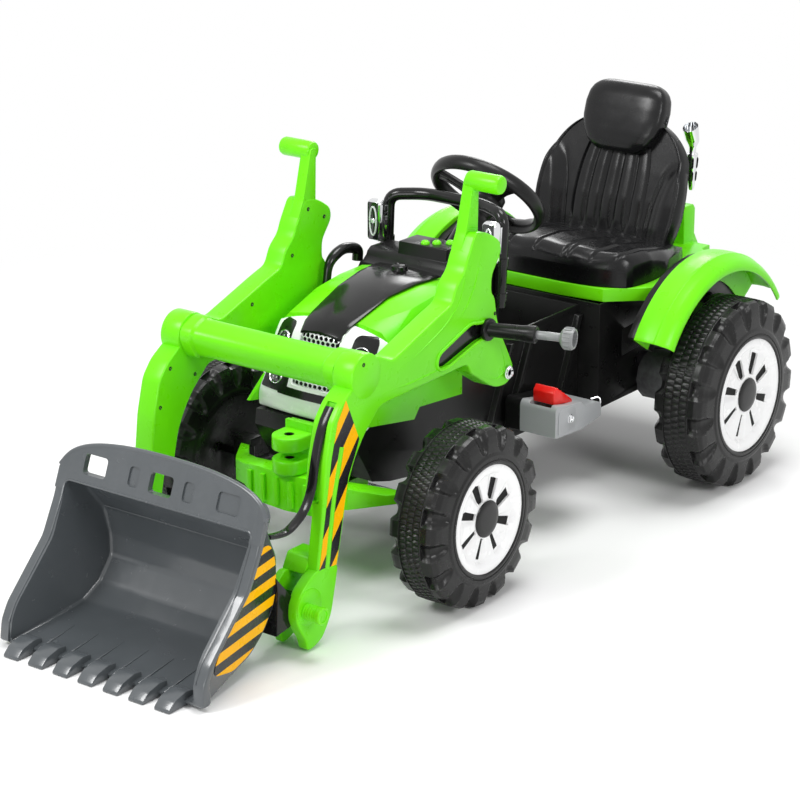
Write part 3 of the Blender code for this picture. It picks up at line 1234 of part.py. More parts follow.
def build_tractor():
    clear_scene()
    frame = add_holder("tractor_frame", (0, 0, 0))
    lift = add_holder("loader_pivot", (0, *ARM_PIVOT), frame)
    tilt = add_holder("bucket_pivot", (0, *BUCKET_PIVOT), lift)
    kingpins = build_knuckles(frame)
    build_front_beam(frame)
    build_tie_rod(frame)
    build_wheel(FRONT_WHEEL, "front", kingpins)
    build_wheel(REAR_WHEEL, "rear", {1: frame, -1: frame})
    build_rear_axle(frame)
    build_gearmotors(frame)
    build_tub(frame)
    build_rear_body(frame)
    build_battery(frame)
    build_hood(frame)
    build_hood_panel(frame)
    build_nose(frame)
    build_lamps(frame)
    build_grille(frame)
    build_dashboard(frame)
    build_buttons(frame)
    build_hoop(frame)
    build_column(frame)
    steering = build_steering_wheel(frame)
    build_horn_pad(steering)
    build_gear_lever(frame)
    build_seat_base(frame)
    build_seat_cushion(frame)
    build_seat_back(frame)
    build_headrest(frame)
    build_fenders(frame)
    build_exhaust(frame)
    build_foot_rests(frame)
    build_pedal(frame)
    build_arm_shaft(frame)
    build_arms(lift)
    build_crossbar(lift)
    build_brackets(lift)
    build_tilt_strip(lift)
    build_tilt_lever(lift)
    build_bucket(tilt)


build_tractor()
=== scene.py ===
"""The finished ride-on front loader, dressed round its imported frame.

Metres, +Z up, the bucket towards -Y and the driver's left towards +X. New pieces are made in the
tractor's own lengthwise datum, whose rear axle is at y = 0.525, and are moved onto the frame when
they are placed.
"""

import logging
import math
from collections.abc import Callable, Sequence
from dataclasses import dataclass
from enum import Enum

import bmesh
import bpy
from mathutils import Matrix, Vector


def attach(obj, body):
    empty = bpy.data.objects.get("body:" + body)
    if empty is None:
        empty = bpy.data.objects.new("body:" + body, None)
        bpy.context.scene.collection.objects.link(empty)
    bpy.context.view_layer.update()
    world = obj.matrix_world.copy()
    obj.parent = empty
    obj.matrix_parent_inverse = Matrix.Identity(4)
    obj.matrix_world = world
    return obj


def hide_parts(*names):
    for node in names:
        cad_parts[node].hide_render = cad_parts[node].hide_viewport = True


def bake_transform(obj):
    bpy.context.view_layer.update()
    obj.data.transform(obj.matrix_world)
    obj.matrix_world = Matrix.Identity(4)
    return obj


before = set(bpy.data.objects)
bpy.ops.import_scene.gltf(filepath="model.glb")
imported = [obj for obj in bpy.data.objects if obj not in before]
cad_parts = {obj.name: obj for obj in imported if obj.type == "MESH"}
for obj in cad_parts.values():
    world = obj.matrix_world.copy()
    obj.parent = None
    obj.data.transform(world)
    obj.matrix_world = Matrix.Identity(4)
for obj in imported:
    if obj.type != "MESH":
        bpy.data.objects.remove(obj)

log = logging.getLogger("loader")
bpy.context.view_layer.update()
DATUM_SHIFT_Y = -0.0275
UP_X = Vector((1, 0, 0))
Pair = tuple[float, float]
Colour = tuple[float, float, float]
MID_GREY = (0.5, 0.5, 0.5, 1)
DUST_COLOUR = (0.55, 0.53, 0.5, 1)
GRAIN_DEPTH = 0.0006
COAT_ROUGHNESS = 0.06
CREASE_ANGLE = 38.0
ORIGIN = (0, 0, 0)
AHEAD = (0, -1, 0)
UPWARD = (0, 0, 1)


class Side(Enum):
    """The tractor's two sides, as the sign of x."""

    LEFT = 1
    RIGHT = -1

    @property
    def word(self) -> str:
        """The side's name in a node's name."""
        return self.name.lower()

    def name_of(self, kind: str) -> str:
        """The name of the piece of this kind on this side."""
        return f"{kind}_{self.word}"


class End(Enum):
    """The two axles."""

    FRONT = "front"
    REAR = "rear"


def node_group(name: str, inputs: dict, outputs: dict[str, str]) -> tuple:
    """Starts a shader node group.

    Args:
        name: The group's name.
        inputs: Each input's default, a number or a colour with its alpha.
        outputs: Each output's kind, Color or Float.

    Returns:
        The group, its input sockets and its output node's sockets.
    """
    group = bpy.data.node_groups.new(name, "ShaderNodeTree")
    for label, value in inputs.items():
        kind = "Color" if isinstance(value, tuple) else "Float"
        socket = group.interface.new_socket(label, in_out="INPUT", socket_type=f"NodeSocket{kind}")
        socket.default_value = value
    for label, kind in outputs.items():
        group.interface.new_socket(label, in_out="OUTPUT", socket_type=f"NodeSocket{kind}")
    return group, group.nodes.new("NodeGroupInput").outputs, group.nodes.new("NodeGroupOutput").inputs


def feed(tree: bpy.types.NodeTree, slot: bpy.types.NodeSocket, value) -> None:
    """Links a socket to an input, or sets the input to a value."""
    if isinstance(value, bpy.types.NodeSocket):
        tree.links.new(value, slot)
    else:
        slot.default_value = value


def math_node(tree: bpy.types.NodeTree, operation: str, first, second) -> bpy.types.NodeSocket:
    """Adds a Math node.

    Args:
        tree: The tree that it goes into.
        operation: The Math node's operation.
        first: A socket or a number.
        second: A socket or a number.

    Returns:
        The node's output socket.
    """
    node = tree.nodes.new("ShaderNodeMath")
    node.operation = operation
    for slot, value in zip(node.inputs, (first, second)):
        feed(tree, slot, value)
    return node.outputs[0]


def span_node(tree: bpy.types.NodeTree, value, low: float, high: float, to_low=0.0,
              to_high=1.0) -> bpy.types.NodeSocket:
    """Adds a clamped Map Range node.

    Args:
        tree: The tree that it goes into.
        value: The socket to map.
        low: The value that becomes to_low.
        high: The value that becomes to_high.
        to_low: A number or socket.
        to_high: A number or socket.

    Returns:
        The node's output socket.
    """
    node = tree.nodes.new("ShaderNodeMapRange")
    for label, given in (("Value", value), ("From Min", low), ("From Max", high), ("To Min", to_low),
                         ("To Max", to_high)):
        feed(tree, node.inputs[label], given)
    return node.outputs["Result"]


def mix_node(tree: bpy.types.NodeTree, share, first, second) -> bpy.types.NodeSocket:
    """Adds a colour Mix node.

    Args:
        tree: The tree that it goes into.
        share: The socket that says how much of the second colour shows.
        first: A socket or a colour with its alpha.
        second: A socket or a colour with its alpha.

    Returns:
        The mixed colour's socket.
    """
    node = tree.nodes.new("ShaderNodeMix")
    node.data_type = "RGBA"
    for number, value in ((0, share), (6, first), (7, second)):
        feed(tree, node.inputs[number], value)
    return node.outputs[2]


def noise_node(tree: bpy.types.NodeTree, where, scale, detail: float = 2.0) -> bpy.types.NodeSocket:
    """Adds a Noise texture.

    Args:
        tree: The tree that it goes into.
        where: The coordinates' socket.
        scale: A number or socket.
        detail: How many octaves it has.

    Returns:
        The noise value's socket.
    """
    node = tree.nodes.new("ShaderNodeTexNoise")
    for label, value in (("Vector", where), ("Scale", scale), ("Detail", detail)):
        feed(tree, node.inputs[label], value)
    return node.outputs["Fac"]


def object_place(tree: bpy.types.NodeTree) -> bpy.types.NodeSocket:
    """The socket of a shaded point's own coordinates."""
    return tree.nodes.new("ShaderNodeTexCoord").outputs["Object"]


def moulded_skin() -> bpy.types.NodeTree:
    """Builds the group that drifts a colour and a roughness, and gives the fine grain's height."""
    group, entry, leave = node_group(
        "moulded_skin",
        {"Colour": MID_GREY, "Drift": MID_GREY, "Rough Low": 0.3, "Rough High": 0.4, "Grain Scale": 900.0},
        {"Colour": "Color", "Roughness": "Float", "Height": "Float"})
    point = object_place(group)
    broad = span_node(group, noise_node(group, point, 9.0, 3.0), 0.35, 0.65)
    patches = span_node(group, noise_node(group, point, 46.0, 4.0), 0.3, 0.7, entry["Rough Low"],
                        entry["Rough High"])
    fine = noise_node(group, point, entry["Grain Scale"])
    ripple = math_node(group, "MULTIPLY", noise_node(group, point, 60.0, 1.0), 1.5)
    feed(group, leave["Colour"], mix_node(group, broad, entry["Colour"], entry["Drift"]))
    feed(group, leave["Roughness"], patches)
    feed(group, leave["Height"], math_node(group, "ADD", fine, ripple))
    return group


def rubbed_edges() -> bpy.types.NodeTree:
    """Builds the group that pales a colour along convex edges: partly rubbing by hands and boots, partly a
    painted highlight where the edges catch the light.
    """
    group, entry, leave = node_group(
        "rubbed_edges", {"Colour": MID_GREY, "Rubbed": (0.7, 0.7, 0.7, 1), "Amount": 0.2},
        {"Colour": "Color"})
    point = group.nodes.new("ShaderNodeNewGeometry").outputs["Pointiness"]
    # Pointiness picks out convex edges; they are paled partly as rubbing and partly as a painted highlight.
    edge = span_node(group, point, 0.52, 0.6)
    broken = span_node(group, noise_node(group, object_place(group), 120.0, 3.0), 0.35, 0.65, 0.3)
    mask = math_node(group, "MULTIPLY", math_node(group, "MULTIPLY", edge, broken), entry["Amount"])
    feed(group, leave["Colour"], mix_node(group, mask, entry["Colour"], entry["Rubbed"]))
    return group


def settled_dust() -> bpy.types.NodeTree:
    """Builds the group that lays a thin film of dust on faces that look up."""
    group, entry, leave = node_group(
        "settled_dust", {"Colour": MID_GREY, "Roughness": 0.3, "Amount": 0.05},
        {"Colour": "Color", "Roughness": "Float"})
    split = group.nodes.new("ShaderNodeSeparateXYZ")
    feed(group, split.inputs[0], group.nodes.new("ShaderNodeNewGeometry").outputs["Normal"])
    upward = span_node(group, split.outputs["Z"], 0.2, 1.0)
    cloud = span_node(group, noise_node(group, object_place(group), 22.0, 5.0), 0.4, 0.75)
    film = math_node(group, "MULTIPLY", math_node(group, "MULTIPLY", upward, cloud), entry["Amount"])
    feed(group, leave["Colour"], mix_node(group, film, entry["Colour"], DUST_COLOUR))
    feed(group, leave["Roughness"], math_node(group, "ADD", entry["Roughness"], film))
    return group


def grey(level: float) -> Colour:
    """A colour with as much red as green and blue."""
    return (level, level, level)


GROUPS: dict[str, bpy.types.NodeTree] = {}


@dataclass(frozen=True)
class Finish:
    """One material: a moulded, painted or plated surface with its grain, drift, paled edges (rubbing and
    painted highlight) and dust.
    """

    name: str
    slot: str
    colour: Colour
    drift: Colour
    roughness: Pair
    grain: float = 0.06
    grain_scale: float = 900.0
    metallic: float = 0.0
    coat: float = 0.0
    specular: float = 0.5
    # The paled edges stand for rubbing and for a painted highlight where the edges catch the light.
    edge_wear_and_highlight: float = 0.15
    rubbed: Colour = grey(0.6)
    dust: float = 0.03

    def build(self) -> bpy.types.Material:
        """Returns the finish's material, made the first time that it is asked for."""
        ready = bpy.data.materials.get(self.name)
        if ready:
            return ready
        for label, maker in (("skin", moulded_skin), ("edges", rubbed_edges), ("dust", settled_dust)):
            if label not in GROUPS:
                GROUPS[label] = maker()
        material = bpy.data.materials.new(self.name)
        material.use_nodes = True
        tree = material.node_tree
        shader = tree.nodes["Principled BSDF"]
        skin, edges, dust = (self.use_group(tree, label) for label in ("skin", "edges", "dust"))
        bump = tree.nodes.new("ShaderNodeBump")
        for node, label, value in (
                (skin, "Colour", (*self.colour, 1)), (skin, "Drift", (*self.drift, 1)),
                (skin, "Rough Low", self.roughness[0]), (skin, "Rough High", self.roughness[1]),
                (skin, "Grain Scale", self.grain_scale), (edges, "Colour", skin.outputs["Colour"]),
                (edges, "Rubbed", (*self.rubbed, 1)), (edges, "Amount", self.edge_wear_and_highlight),
                (dust, "Colour", edges.outputs["Colour"]), (dust, "Roughness", skin.outputs["Roughness"]),
                (dust, "Amount", self.dust), (bump, "Height", skin.outputs["Height"]),
                (bump, "Strength", self.grain), (bump, "Distance", GRAIN_DEPTH),
                (shader, "Base Color", dust.outputs["Colour"]),
                (shader, "Roughness", dust.outputs["Roughness"]), (shader, "Normal", bump.outputs["Normal"]),
                (shader, "Metallic", self.metallic), (shader, "Coat Weight", self.coat),
                (shader, "Coat Roughness", COAT_ROUGHNESS), (shader, "Specular IOR Level", self.specular)):
            feed(tree, node.inputs[label], value)
        return material

    @staticmethod
    def use_group(tree: bpy.types.NodeTree, label: str) -> bpy.types.Node:
        """Returns a new node of one of the shared groups."""
        node = tree.nodes.new("ShaderNodeGroup")
        node.node_tree = GROUPS[label]
        return node


GREEN = Finish("green_plastic", "green_moulding", (0.17, 0.79, 0.004), (0.15, 0.75, 0.003), (0.26, 0.34),
               grain=0.03, specular=0.28, rubbed=(0.4, 0.9, 0.1), edge_wear_and_highlight=0.08, dust=0.01)
BLACK = Finish("black_plastic", "black_moulding", grey(0.005), grey(0.008), (0.26, 0.36),
               grain=0.04, specular=0.24, rubbed=grey(0.05), edge_wear_and_highlight=0.1, dust=0.004)
GLOSS = Finish("gloss_black_plastic", "gloss_black", grey(0.004), grey(0.006),
               (0.12, 0.2), grain=0.02, specular=0.34, rubbed=grey(0.04), edge_wear_and_highlight=0.2, dust=0.005)
SEAT_BLACK = Finish("seat_black_plastic", "gloss_black", (0.004, 0.004, 0.0045), (0.007, 0.007, 0.0075),
                    (0.21, 0.29), grain=0.05, grain_scale=420.0, specular=0.28, rubbed=grey(0.04),
                    dust=0.006)
RUBBER = Finish("wheel_black_plastic", "wheel_black", grey(0.006), grey(0.01),
                (0.24, 0.34), grain=0.04, grain_scale=700.0, specular=0.29, rubbed=grey(0.08), edge_wear_and_highlight=0.3,
                dust=0.01)
SLATE = Finish("bucket_slate_plastic", "bucket_black", (0.078, 0.087, 0.094), (0.068, 0.077, 0.083),
               (0.2, 0.28), grain=0.02, specular=0.55, coat=0.25, rubbed=(0.3, 0.31, 0.32), edge_wear_and_highlight=0.06,
               dust=0.004)
WHITE = Finish("white_plastic", "white_moulding", grey(0.92), (0.88, 0.88, 0.885), (0.2, 0.3),
               grain=0.03, rubbed=grey(0.95), edge_wear_and_highlight=0.05, dust=0.004)
STEP_GREY = Finish("step_grey_plastic", "light_grey_moulding", (0.36, 0.37, 0.38), (0.32, 0.33, 0.34),
                   (0.3, 0.42), grain=0.04, rubbed=grey(0.6), edge_wear_and_highlight=0.1)
LEVER_GREY = Finish("lever_grey_plastic", "light_grey_moulding", (0.22, 0.225, 0.23), (0.19, 0.195, 0.2),
                    (0.24, 0.34), grain=0.03, rubbed=grey(0.5), edge_wear_and_highlight=0.1)
CASE_GREY = Finish("battery_case_plastic", "battery_case", (0.06, 0.062, 0.066), (0.05, 0.05, 0.055),
                   (0.4, 0.5))
MESH_GREY = Finish("grille_plating", "grille_grey", (0.8, 0.81, 0.82), (0.74, 0.75, 0.76), (0.14, 0.24),
                   metallic=0.3, edge_wear_and_highlight=0.0)
RED = Finish("red_plastic", "red_moulding", (0.8, 0.008, 0.005), (0.72, 0.006, 0.004), (0.18, 0.28),
             specular=0.35, rubbed=(0.9, 0.25, 0.2))
CHROME = Finish("chrome_plating", "plated_plastic", (0.8, 0.81, 0.82), (0.72, 0.73, 0.74), (0.03, 0.08),
                grain=0.02, metallic=1.0, edge_wear_and_highlight=0.0)
STEEL = Finish("zinc_plated_steel", "plated_steel", (0.5, 0.5, 0.51), (0.42, 0.42, 0.44), (0.22, 0.36),
               grain=0.1, metallic=1.0, edge_wear_and_highlight=0.0)
LENS = Finish("dark_lens", "gloss_black", (0.01, 0.011, 0.012), (0.02, 0.022, 0.024), (0.04, 0.1),
              coat=0.5, edge_wear_and_highlight=0.0, dust=0.0)
GLINT = Finish("lamp_dot_plating", "plated_plastic", (0.9, 0.91, 0.93), (0.8, 0.82, 0.85), (0.08, 0.16),
               metallic=0.4, edge_wear_and_highlight=0.0, dust=0.0)
# A near-black finish of painted shadow, for dark pieces set in slots, holes and behind the grille, where only
# shade falls.
PAINTED_SHADOW = Finish("deep_shadow_plastic", "black_moulding", grey(0.002), grey(0.003),
              (0.5, 0.6), specular=0.2, edge_wear_and_highlight=0.0, dust=0.0)
YELLOW = Finish("stripe_yellow_film", "bucket_black", (1.0, 0.5, 0.001), (0.96, 0.46, 0.001), (0.24, 0.34),
                grain=0.02, specular=0.12, rubbed=(0.9, 0.8, 0.5), edge_wear_and_highlight=0.0, dust=0.0)
INK = Finish("stripe_black_film", "bucket_black", (0.006, 0.006, 0.009), (0.009, 0.009, 0.012), (0.22, 0.32),
             grain=0.02, specular=0.4, edge_wear_and_highlight=0.0, dust=0.005)


def eased(corners: Sequence, reach: float, steps: int = 4, closed: bool = True) -> list[tuple]:
    """Rounds the corners of an outline or a path.

    Args:
        corners: The outline's or path's corners.
        reach: How far from each corner the rounding starts.
        steps: How many runs each rounding has.
        closed: Whether the last corner joins the first.

    Returns:
        The rounded points.
    """
    points = [Vector(corner) for corner in corners]
    count = len(points)
    out = []
    for i, corner in enumerate(points):
        if not closed and i in (0, count - 1):
            out.append(tuple(corner))
            continue
        before, after = points[i - 1] - corner, points[(i + 1) % count] - corner
        start = corner + before.normalized() * min(reach, before.length * 0.45)
        end = corner + after.normalized() * min(reach, after.length * 0.45)
        for step in range(steps + 1):
            t = step / steps
            out.append(tuple(start * (1 - t) ** 2 + corner * 2 * t * (1 - t) + end * t**2))
    return out


def window(x: float, half: float, low: float, high: float, reach: float = 0.006,
           steps: int = 4) -> list[tuple]:
    """The outline of a rounded rectangle about this x, between two heights."""
    return eased([(x - half, low), (x + half, low), (x + half, high), (x - half, high)], reach, steps)


def full_turn(count: int) -> list[float]:
    """The angles of this many even steps round a circle, in radians."""
    return [2 * math.pi * step / count for step in range(count)]


def between(points: Sequence[Pair], value: float) -> float:
    """Reads a curve given by points.

    Args:
        points: Rising (value, result) pairs.
        value: Where the curve is read.

    Returns:
        The result there, held at both ends.
    """
    if value <= points[0][0]:
        return points[0][1]
    for (a, first), (b, second) in zip(points, points[1:]):
        if value <= b:
            return first + (second - first) * ((value - a) / (b - a))
    return points[-1][1]


def ramp(low: float, high: float, value: float) -> float:
    """A smooth step from 0 at low to 1 at high."""
    t = min(1.0, max(0.0, (value - low) / (high - low)))
    return t * t * (3 - 2 * t)


class Form:
    """A mesh in the making, and the moves that the tractor's pieces are made by."""

    def __init__(self) -> None:
        """Starts an empty form."""
        self.bm = bmesh.new()

    @classmethod
    def of_node(cls, node: str) -> "Form":
        """Copies a CAD node into the datum.

        Args:
            node: The node's name.

        Returns:
            The copy, with its doubles merged and its flat faces joined.
        """
        form = cls()
        form.bm.from_mesh(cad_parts[node].data)
        form.paint(0)
        bmesh.ops.remove_doubles(form.bm, verts=form.bm.verts, dist=2e-5)
        bmesh.ops.dissolve_degenerate(form.bm, edges=form.bm.edges, dist=1e-4)
        bmesh.ops.dissolve_limit(form.bm, angle_limit=math.radians(0.6), verts=form.bm.verts,
                                 edges=form.bm.edges)
        return form.shift((0, -DATUM_SHIFT_Y, 0))

    def take(self, part: bmesh.types.BMesh) -> "Form":
        """Adds another mesh to the form and frees it."""
        bmesh.ops.recalc_face_normals(part, faces=part.faces)
        carrier = bpy.data.meshes.new("carrier")
        part.to_mesh(carrier)
        part.free()
        self.bm.from_mesh(carrier)
        bpy.data.meshes.remove(carrier)
        return self

    def add(self, other: "Form") -> "Form":
        """Adds another form to this one."""
        return self.take(other.bm)

    def shift(self, by: Sequence[float]) -> "Form":
        """Moves the whole form."""
        bmesh.ops.translate(self.bm, verts=self.bm.verts, vec=Vector(by))
        return self

    def turn(self, about: Sequence[float], angle: float, axis: str = "X") -> "Form":
        """Turns the whole form about a point, in degrees."""
        turning = Matrix.Rotation(math.radians(angle), 3, axis)
        bmesh.ops.rotate(self.bm, verts=self.bm.verts, cent=Vector(about), matrix=turning)
        return self

    def mirrored(self, side: Side) -> "Form":
        """Mirrors the form to the right side, or leaves it on the left."""
        if side is Side.RIGHT:
            bmesh.ops.scale(self.bm, verts=self.bm.verts, vec=(-1, 1, 1))
            bmesh.ops.reverse_faces(self.bm, faces=self.bm.faces)
        return self

    def paint(self, index: int) -> "Form":
        """Gives every face this material index."""
        for face in self.bm.faces:
            face.material_index = index
        return self

    def split(self, point: Sequence[float], normal: Sequence[float]) -> None:
        """Adds edges where a plane crosses the form."""
        everything = self.bm.verts[:] + self.bm.edges[:] + self.bm.faces[:]
        bmesh.ops.bisect_plane(self.bm, geom=everything, plane_co=point, plane_no=normal)

    def slab(self, outline: Sequence[Pair], front: float, back: float) -> "Form":
        """Adds a plate with these (x, z) corners between two values of y."""
        return self.loft([[(x, y, z) for x, z in outline] for y in (front, back)])

    def plate(self, outline: Sequence[Pair], low: float, high: float, rim: float = 0.0,
              segments: int = 3) -> "Form":
        """Adds a plate across the tractor.

        Args:
            outline: Its (y, z) corners.
            low: Its inner x.
            high: Its outer x.
            rim: How far its two rims are rounded.
            segments: How many steps the rounding has.

        Returns:
            The form.
        """
        part = bmesh.new()
        face = part.faces.new([part.verts.new((low, y, z)) for y, z in outline])
        grown = bmesh.ops.extrude_face_region(part, geom=[face])["geom"]
        far = [v for v in grown if isinstance(v, bmesh.types.BMVert)]
        bmesh.ops.translate(part, verts=far, vec=(high - low, 0, 0))
        bmesh.ops.recalc_face_normals(part, faces=part.faces)
        if rim:
            edges = [e for e in part.edges if abs(e.verts[0].co.x - e.verts[1].co.x) < 1e-6]
            self.bevel(part, edges, rim, segments)
        return self.take(part)

    @staticmethod
    def bevel(bm: bmesh.types.BMesh, edges: list, width: float, segments: int) -> None:
        """Rounds these edges."""
        bmesh.ops.bevel(bm, geom=edges, offset=width, offset_type="OFFSET", segments=segments, profile=0.5,
                        affect="EDGES", clamp_overlap=True, material=-1)

    def soften(self, width: float, segments: int = 2, angle: float = 35.0) -> "Form":
        """Rounds every edge that is sharper than an angle in degrees."""
        limit = math.radians(angle)
        edges = [e for e in self.bm.edges if e.is_manifold and e.calc_face_angle(0.0) > limit]
        self.bevel(self.bm, edges, width, segments)
        return self

    def box(self, low: Sequence[float], high: Sequence[float], rim: float = 0.001,
            segments: int = 2) -> "Form":
        """Adds a box between two corners, with its edges rounded."""
        part = bmesh.new()
        size, middle = Vector(high) - Vector(low), (Vector(high) + Vector(low)) / 2
        bmesh.ops.create_cube(part, size=1.0, matrix=Matrix.Translation(middle) @ Matrix.Diagonal((*size, 1)))
        if rim:
            self.bevel(part, part.edges[:], rim, segments)
        return self.take(part)

    def loft(self, rings: Sequence[Sequence], closed: bool = False, caps: bool = True) -> "Form":
        """Adds a skin that runs through rings of as many points each.

        Args:
            rings: The rings, in order.
            closed: Whether the last ring joins the first.
            caps: Whether the first and last ring are filled.

        Returns:
            The form.
        """
        part = bmesh.new()
        first = [part.verts.new(point) for point in rings[0]]
        row = first
        edges = [part.edges.new((a, b)) for a, b in zip(row, row[1:] + row[:1])]
        for ring in rings[1:]:
            grown = bmesh.ops.extrude_edge_only(part, edges=edges)["geom"]
            fresh = {v for v in grown if isinstance(v, bmesh.types.BMVert)}
            edges = [e for e in grown if isinstance(e, bmesh.types.BMEdge)
                     and e.verts[0] in fresh and e.verts[1] in fresh]
            row = [next(e.other_vert(v) for e in v.link_edges if e.other_vert(v) in fresh) for v in row]
            for vert, point in zip(row, ring):
                vert.co = point
        if closed:
            for a, b in zip(first, row):
                b.co = a.co
            bmesh.ops.remove_doubles(part, verts=part.verts, dist=1e-7)
        elif caps:
            part.faces.new(first)
            part.faces.new(row)
        return self.take(part)

    def sweep(self, path: Sequence, radius, sides: int = 16, closed: bool = False) -> "Form":
        """Adds a round bar along a path.

        Args:
            path: The path's points.
            radius: One radius, or one for each point.
            sides: How many sides the bar has.
            closed: Whether the path is a loop.

        Returns:
            The form.
        """
        points = [Vector(point) for point in path]
        radii = list(radius) if isinstance(radius, (list, tuple)) else [radius] * len(points)
        count, rings, across = len(points), [], None
        for i, point in enumerate(points):
            ahead = points[(i + 1) % count] if closed else points[min(i + 1, count - 1)]
            along = (ahead - points[i - 1 if closed or i else 0]).normalized()
            across = along.orthogonal() if across is None else across
            across = (across - along * across.dot(along)).normalized()
            rise = along.cross(across)
            rings.append([point + (across * math.cos(t) + rise * math.sin(t)) * radii[i]
                          for t in full_turn(sides)])
        if closed:
            rings.append(rings[0])
        return self.loft(rings, closed=closed)

    def revolve(self, profile: Sequence[Pair], start: Sequence[float], axis: Sequence[float] = (1, 0, 0),
                steps: int = 40, closed: bool = False) -> "Form":
        """Adds a turned shape.

        Args:
            profile: (along, radius) points, along the axis from the start.
            start: The point that the profile is measured from.
            axis: The direction that it is turned about.
            steps: How many steps the turn has.
            closed: Whether the profile is a loop.

        Returns:
            The form.
        """
        part = bmesh.new()
        along = Vector(axis).normalized()
        out = (along.orthogonal() if abs(along.x) < 0.999 else Vector((0, 1, 0))).normalized()
        middle = Vector(start)
        verts = [part.verts.new(middle + along * a + out * r) for a, r in profile]
        edges = [part.edges.new(pair) for pair in zip(verts, verts[1:])]
        if closed:
            edges.append(part.edges.new((verts[-1], verts[0])))
        bmesh.ops.spin(part, geom=verts + edges, cent=middle, axis=along, angle=2 * math.pi, steps=steps,
                       use_merge=True, use_duplicate=False)
        bmesh.ops.remove_doubles(part, verts=part.verts, dist=1e-6)
        return self.take(part)

    def rod(self, start: Sequence[float], end: Sequence[float], radius: float, rim: float = 0.0,
            steps: int = 24) -> "Form":
        """Adds a round bar between two points, with its end edges rounded."""
        run = Vector(end) - Vector(start)
        corner = rim * 0.3
        half = [(0, 0), (0, radius - rim)] + ([(corner, radius - corner)] if rim else []) + [(rim, radius)]
        other = [(run.length - along, r) for along, r in reversed(half)]
        return self.revolve(half + other, start, run, steps)

    def carve(self, cutter: "Form", operation: str = "DIFFERENCE") -> "Form":
        """Cuts another form from this one, or joins it on.

        Args:
            cutter: The other form, which is used up.
            operation: The Boolean modifier's operation.

        Returns:
            The form.
        """
        pair = []
        for bm in (self.bm, cutter.bm):
            mesh = bpy.data.meshes.new("carved")
            bm.to_mesh(mesh)
            bm.free()
            pair.append(bpy.data.objects.new("carved", mesh))
            bpy.context.scene.collection.objects.link(pair[-1])
        step = pair[0].modifiers.new("carve", "BOOLEAN")
        step.operation, step.object, step.solver = operation, pair[1], "MANIFOLD"
        graph = bpy.context.evaluated_depsgraph_get()
        self.bm = bmesh.new()
        self.bm.from_mesh(pair[0].evaluated_get(graph).to_mesh())
        for used in pair:
            mesh = used.data
            bpy.data.objects.remove(used)
            bpy.data.meshes.remove(mesh)
        bmesh.ops.remove_doubles(self.bm, verts=self.bm.verts, dist=1e-6)
        return self

    def join(self, other: "Form") -> "Form":
        """Joins another form on as one solid."""
        return self.carve(other, "UNION")

    def bend(self, move: Callable[[Vector], Vector]) -> "Form":
        """Moves every point by a function of its place."""
        for vert in self.bm.verts:
            vert.co = move(vert.co)
        return self


def place(name: str, form: Form, finish: Finish | Sequence[Finish], body: str = "chassis",
          replaces: Sequence[str] = (), crease: float = CREASE_ANGLE) -> bpy.types.Object:
    """Turns a form into a piece of the tractor.

    Args:
        name: The piece's name.
        form: Its mesh, in the datum, which is used up.
        finish: Its finish, or one for each material index.
        body: The body that it rides on.
        replaces: The CAD nodes that it stands for.
        crease: The angle in degrees past which an edge is shaded sharp.

    Returns:
        The piece.
    """
    finishes = [finish] if isinstance(finish, Finish) else list(finish)
    form.shift((0, DATUM_SHIFT_Y, 0))
    mesh = bpy.data.meshes.new(name)
    form.bm.to_mesh(mesh)
    form.bm.free()
    for spare in ("custom_normal", "sharp_edge", "sharp_face"):
        if spare in mesh.attributes:
            mesh.attributes.remove(mesh.attributes[spare])
    for each in finishes:
        mesh.materials.append(each.build())
    mesh.shade_smooth()
    mesh.set_sharp_from_angle(angle=math.radians(crease))
    piece = bpy.data.objects.new(name, mesh)
    bpy.context.scene.collection.objects.link(piece)
    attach(piece, body)
    if replaces:
        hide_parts(*replaces)
    log.info("%s rides on %s with %d faces", name, body, len(mesh.polygons))
    return piece


def stand_in(node: str, form: Form, finish: Finish | Sequence[Finish], body: str = "chassis",
             crease: float = CREASE_ANGLE) -> bpy.types.Object:
    """Places a form as the finished shape of one CAD node."""
    return place(f"{node}_finished", form, finish, body, [node], crease)


def dress(node: str, finish: Finish) -> None:
    """Gives a CAD node that stays a better material."""
    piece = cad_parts[node]
    for slot in piece.material_slots:
        slot.material = finish.build()
    log.info("%s keeps its CAD shape", node)


def recast(node: str, finish: Finish, body: str = "chassis", width: float = 0.0008,
           segments: int = 2) -> None:
    """Stands a copy of a CAD node in its place, with its edges rounded by this width."""
    stand_in(node, Form.of_node(node).soften(width, segments), finish, body)


def screw(form: Form, at: Sequence[float], toward: Sequence[float], radius: float = 0.003) -> Form:
    """Adds a small cross-head screw in its countersink to a form.

    Args:
        form: The form that it is added to.
        at: The middle of its head on the surface.
        toward: The direction that the head faces.
        radius: The head's radius.

    Returns:
        The form.
    """
    ring = [(-0.001, radius), (0.0003, radius), (0.0005, radius * 0.85), (0.0002, radius * 0.72),
            (0.0006, radius * 0.5), (-0.0006, radius * 0.25), (-0.0006, 0)]
    return form.revolve(ring, at, toward, 14)


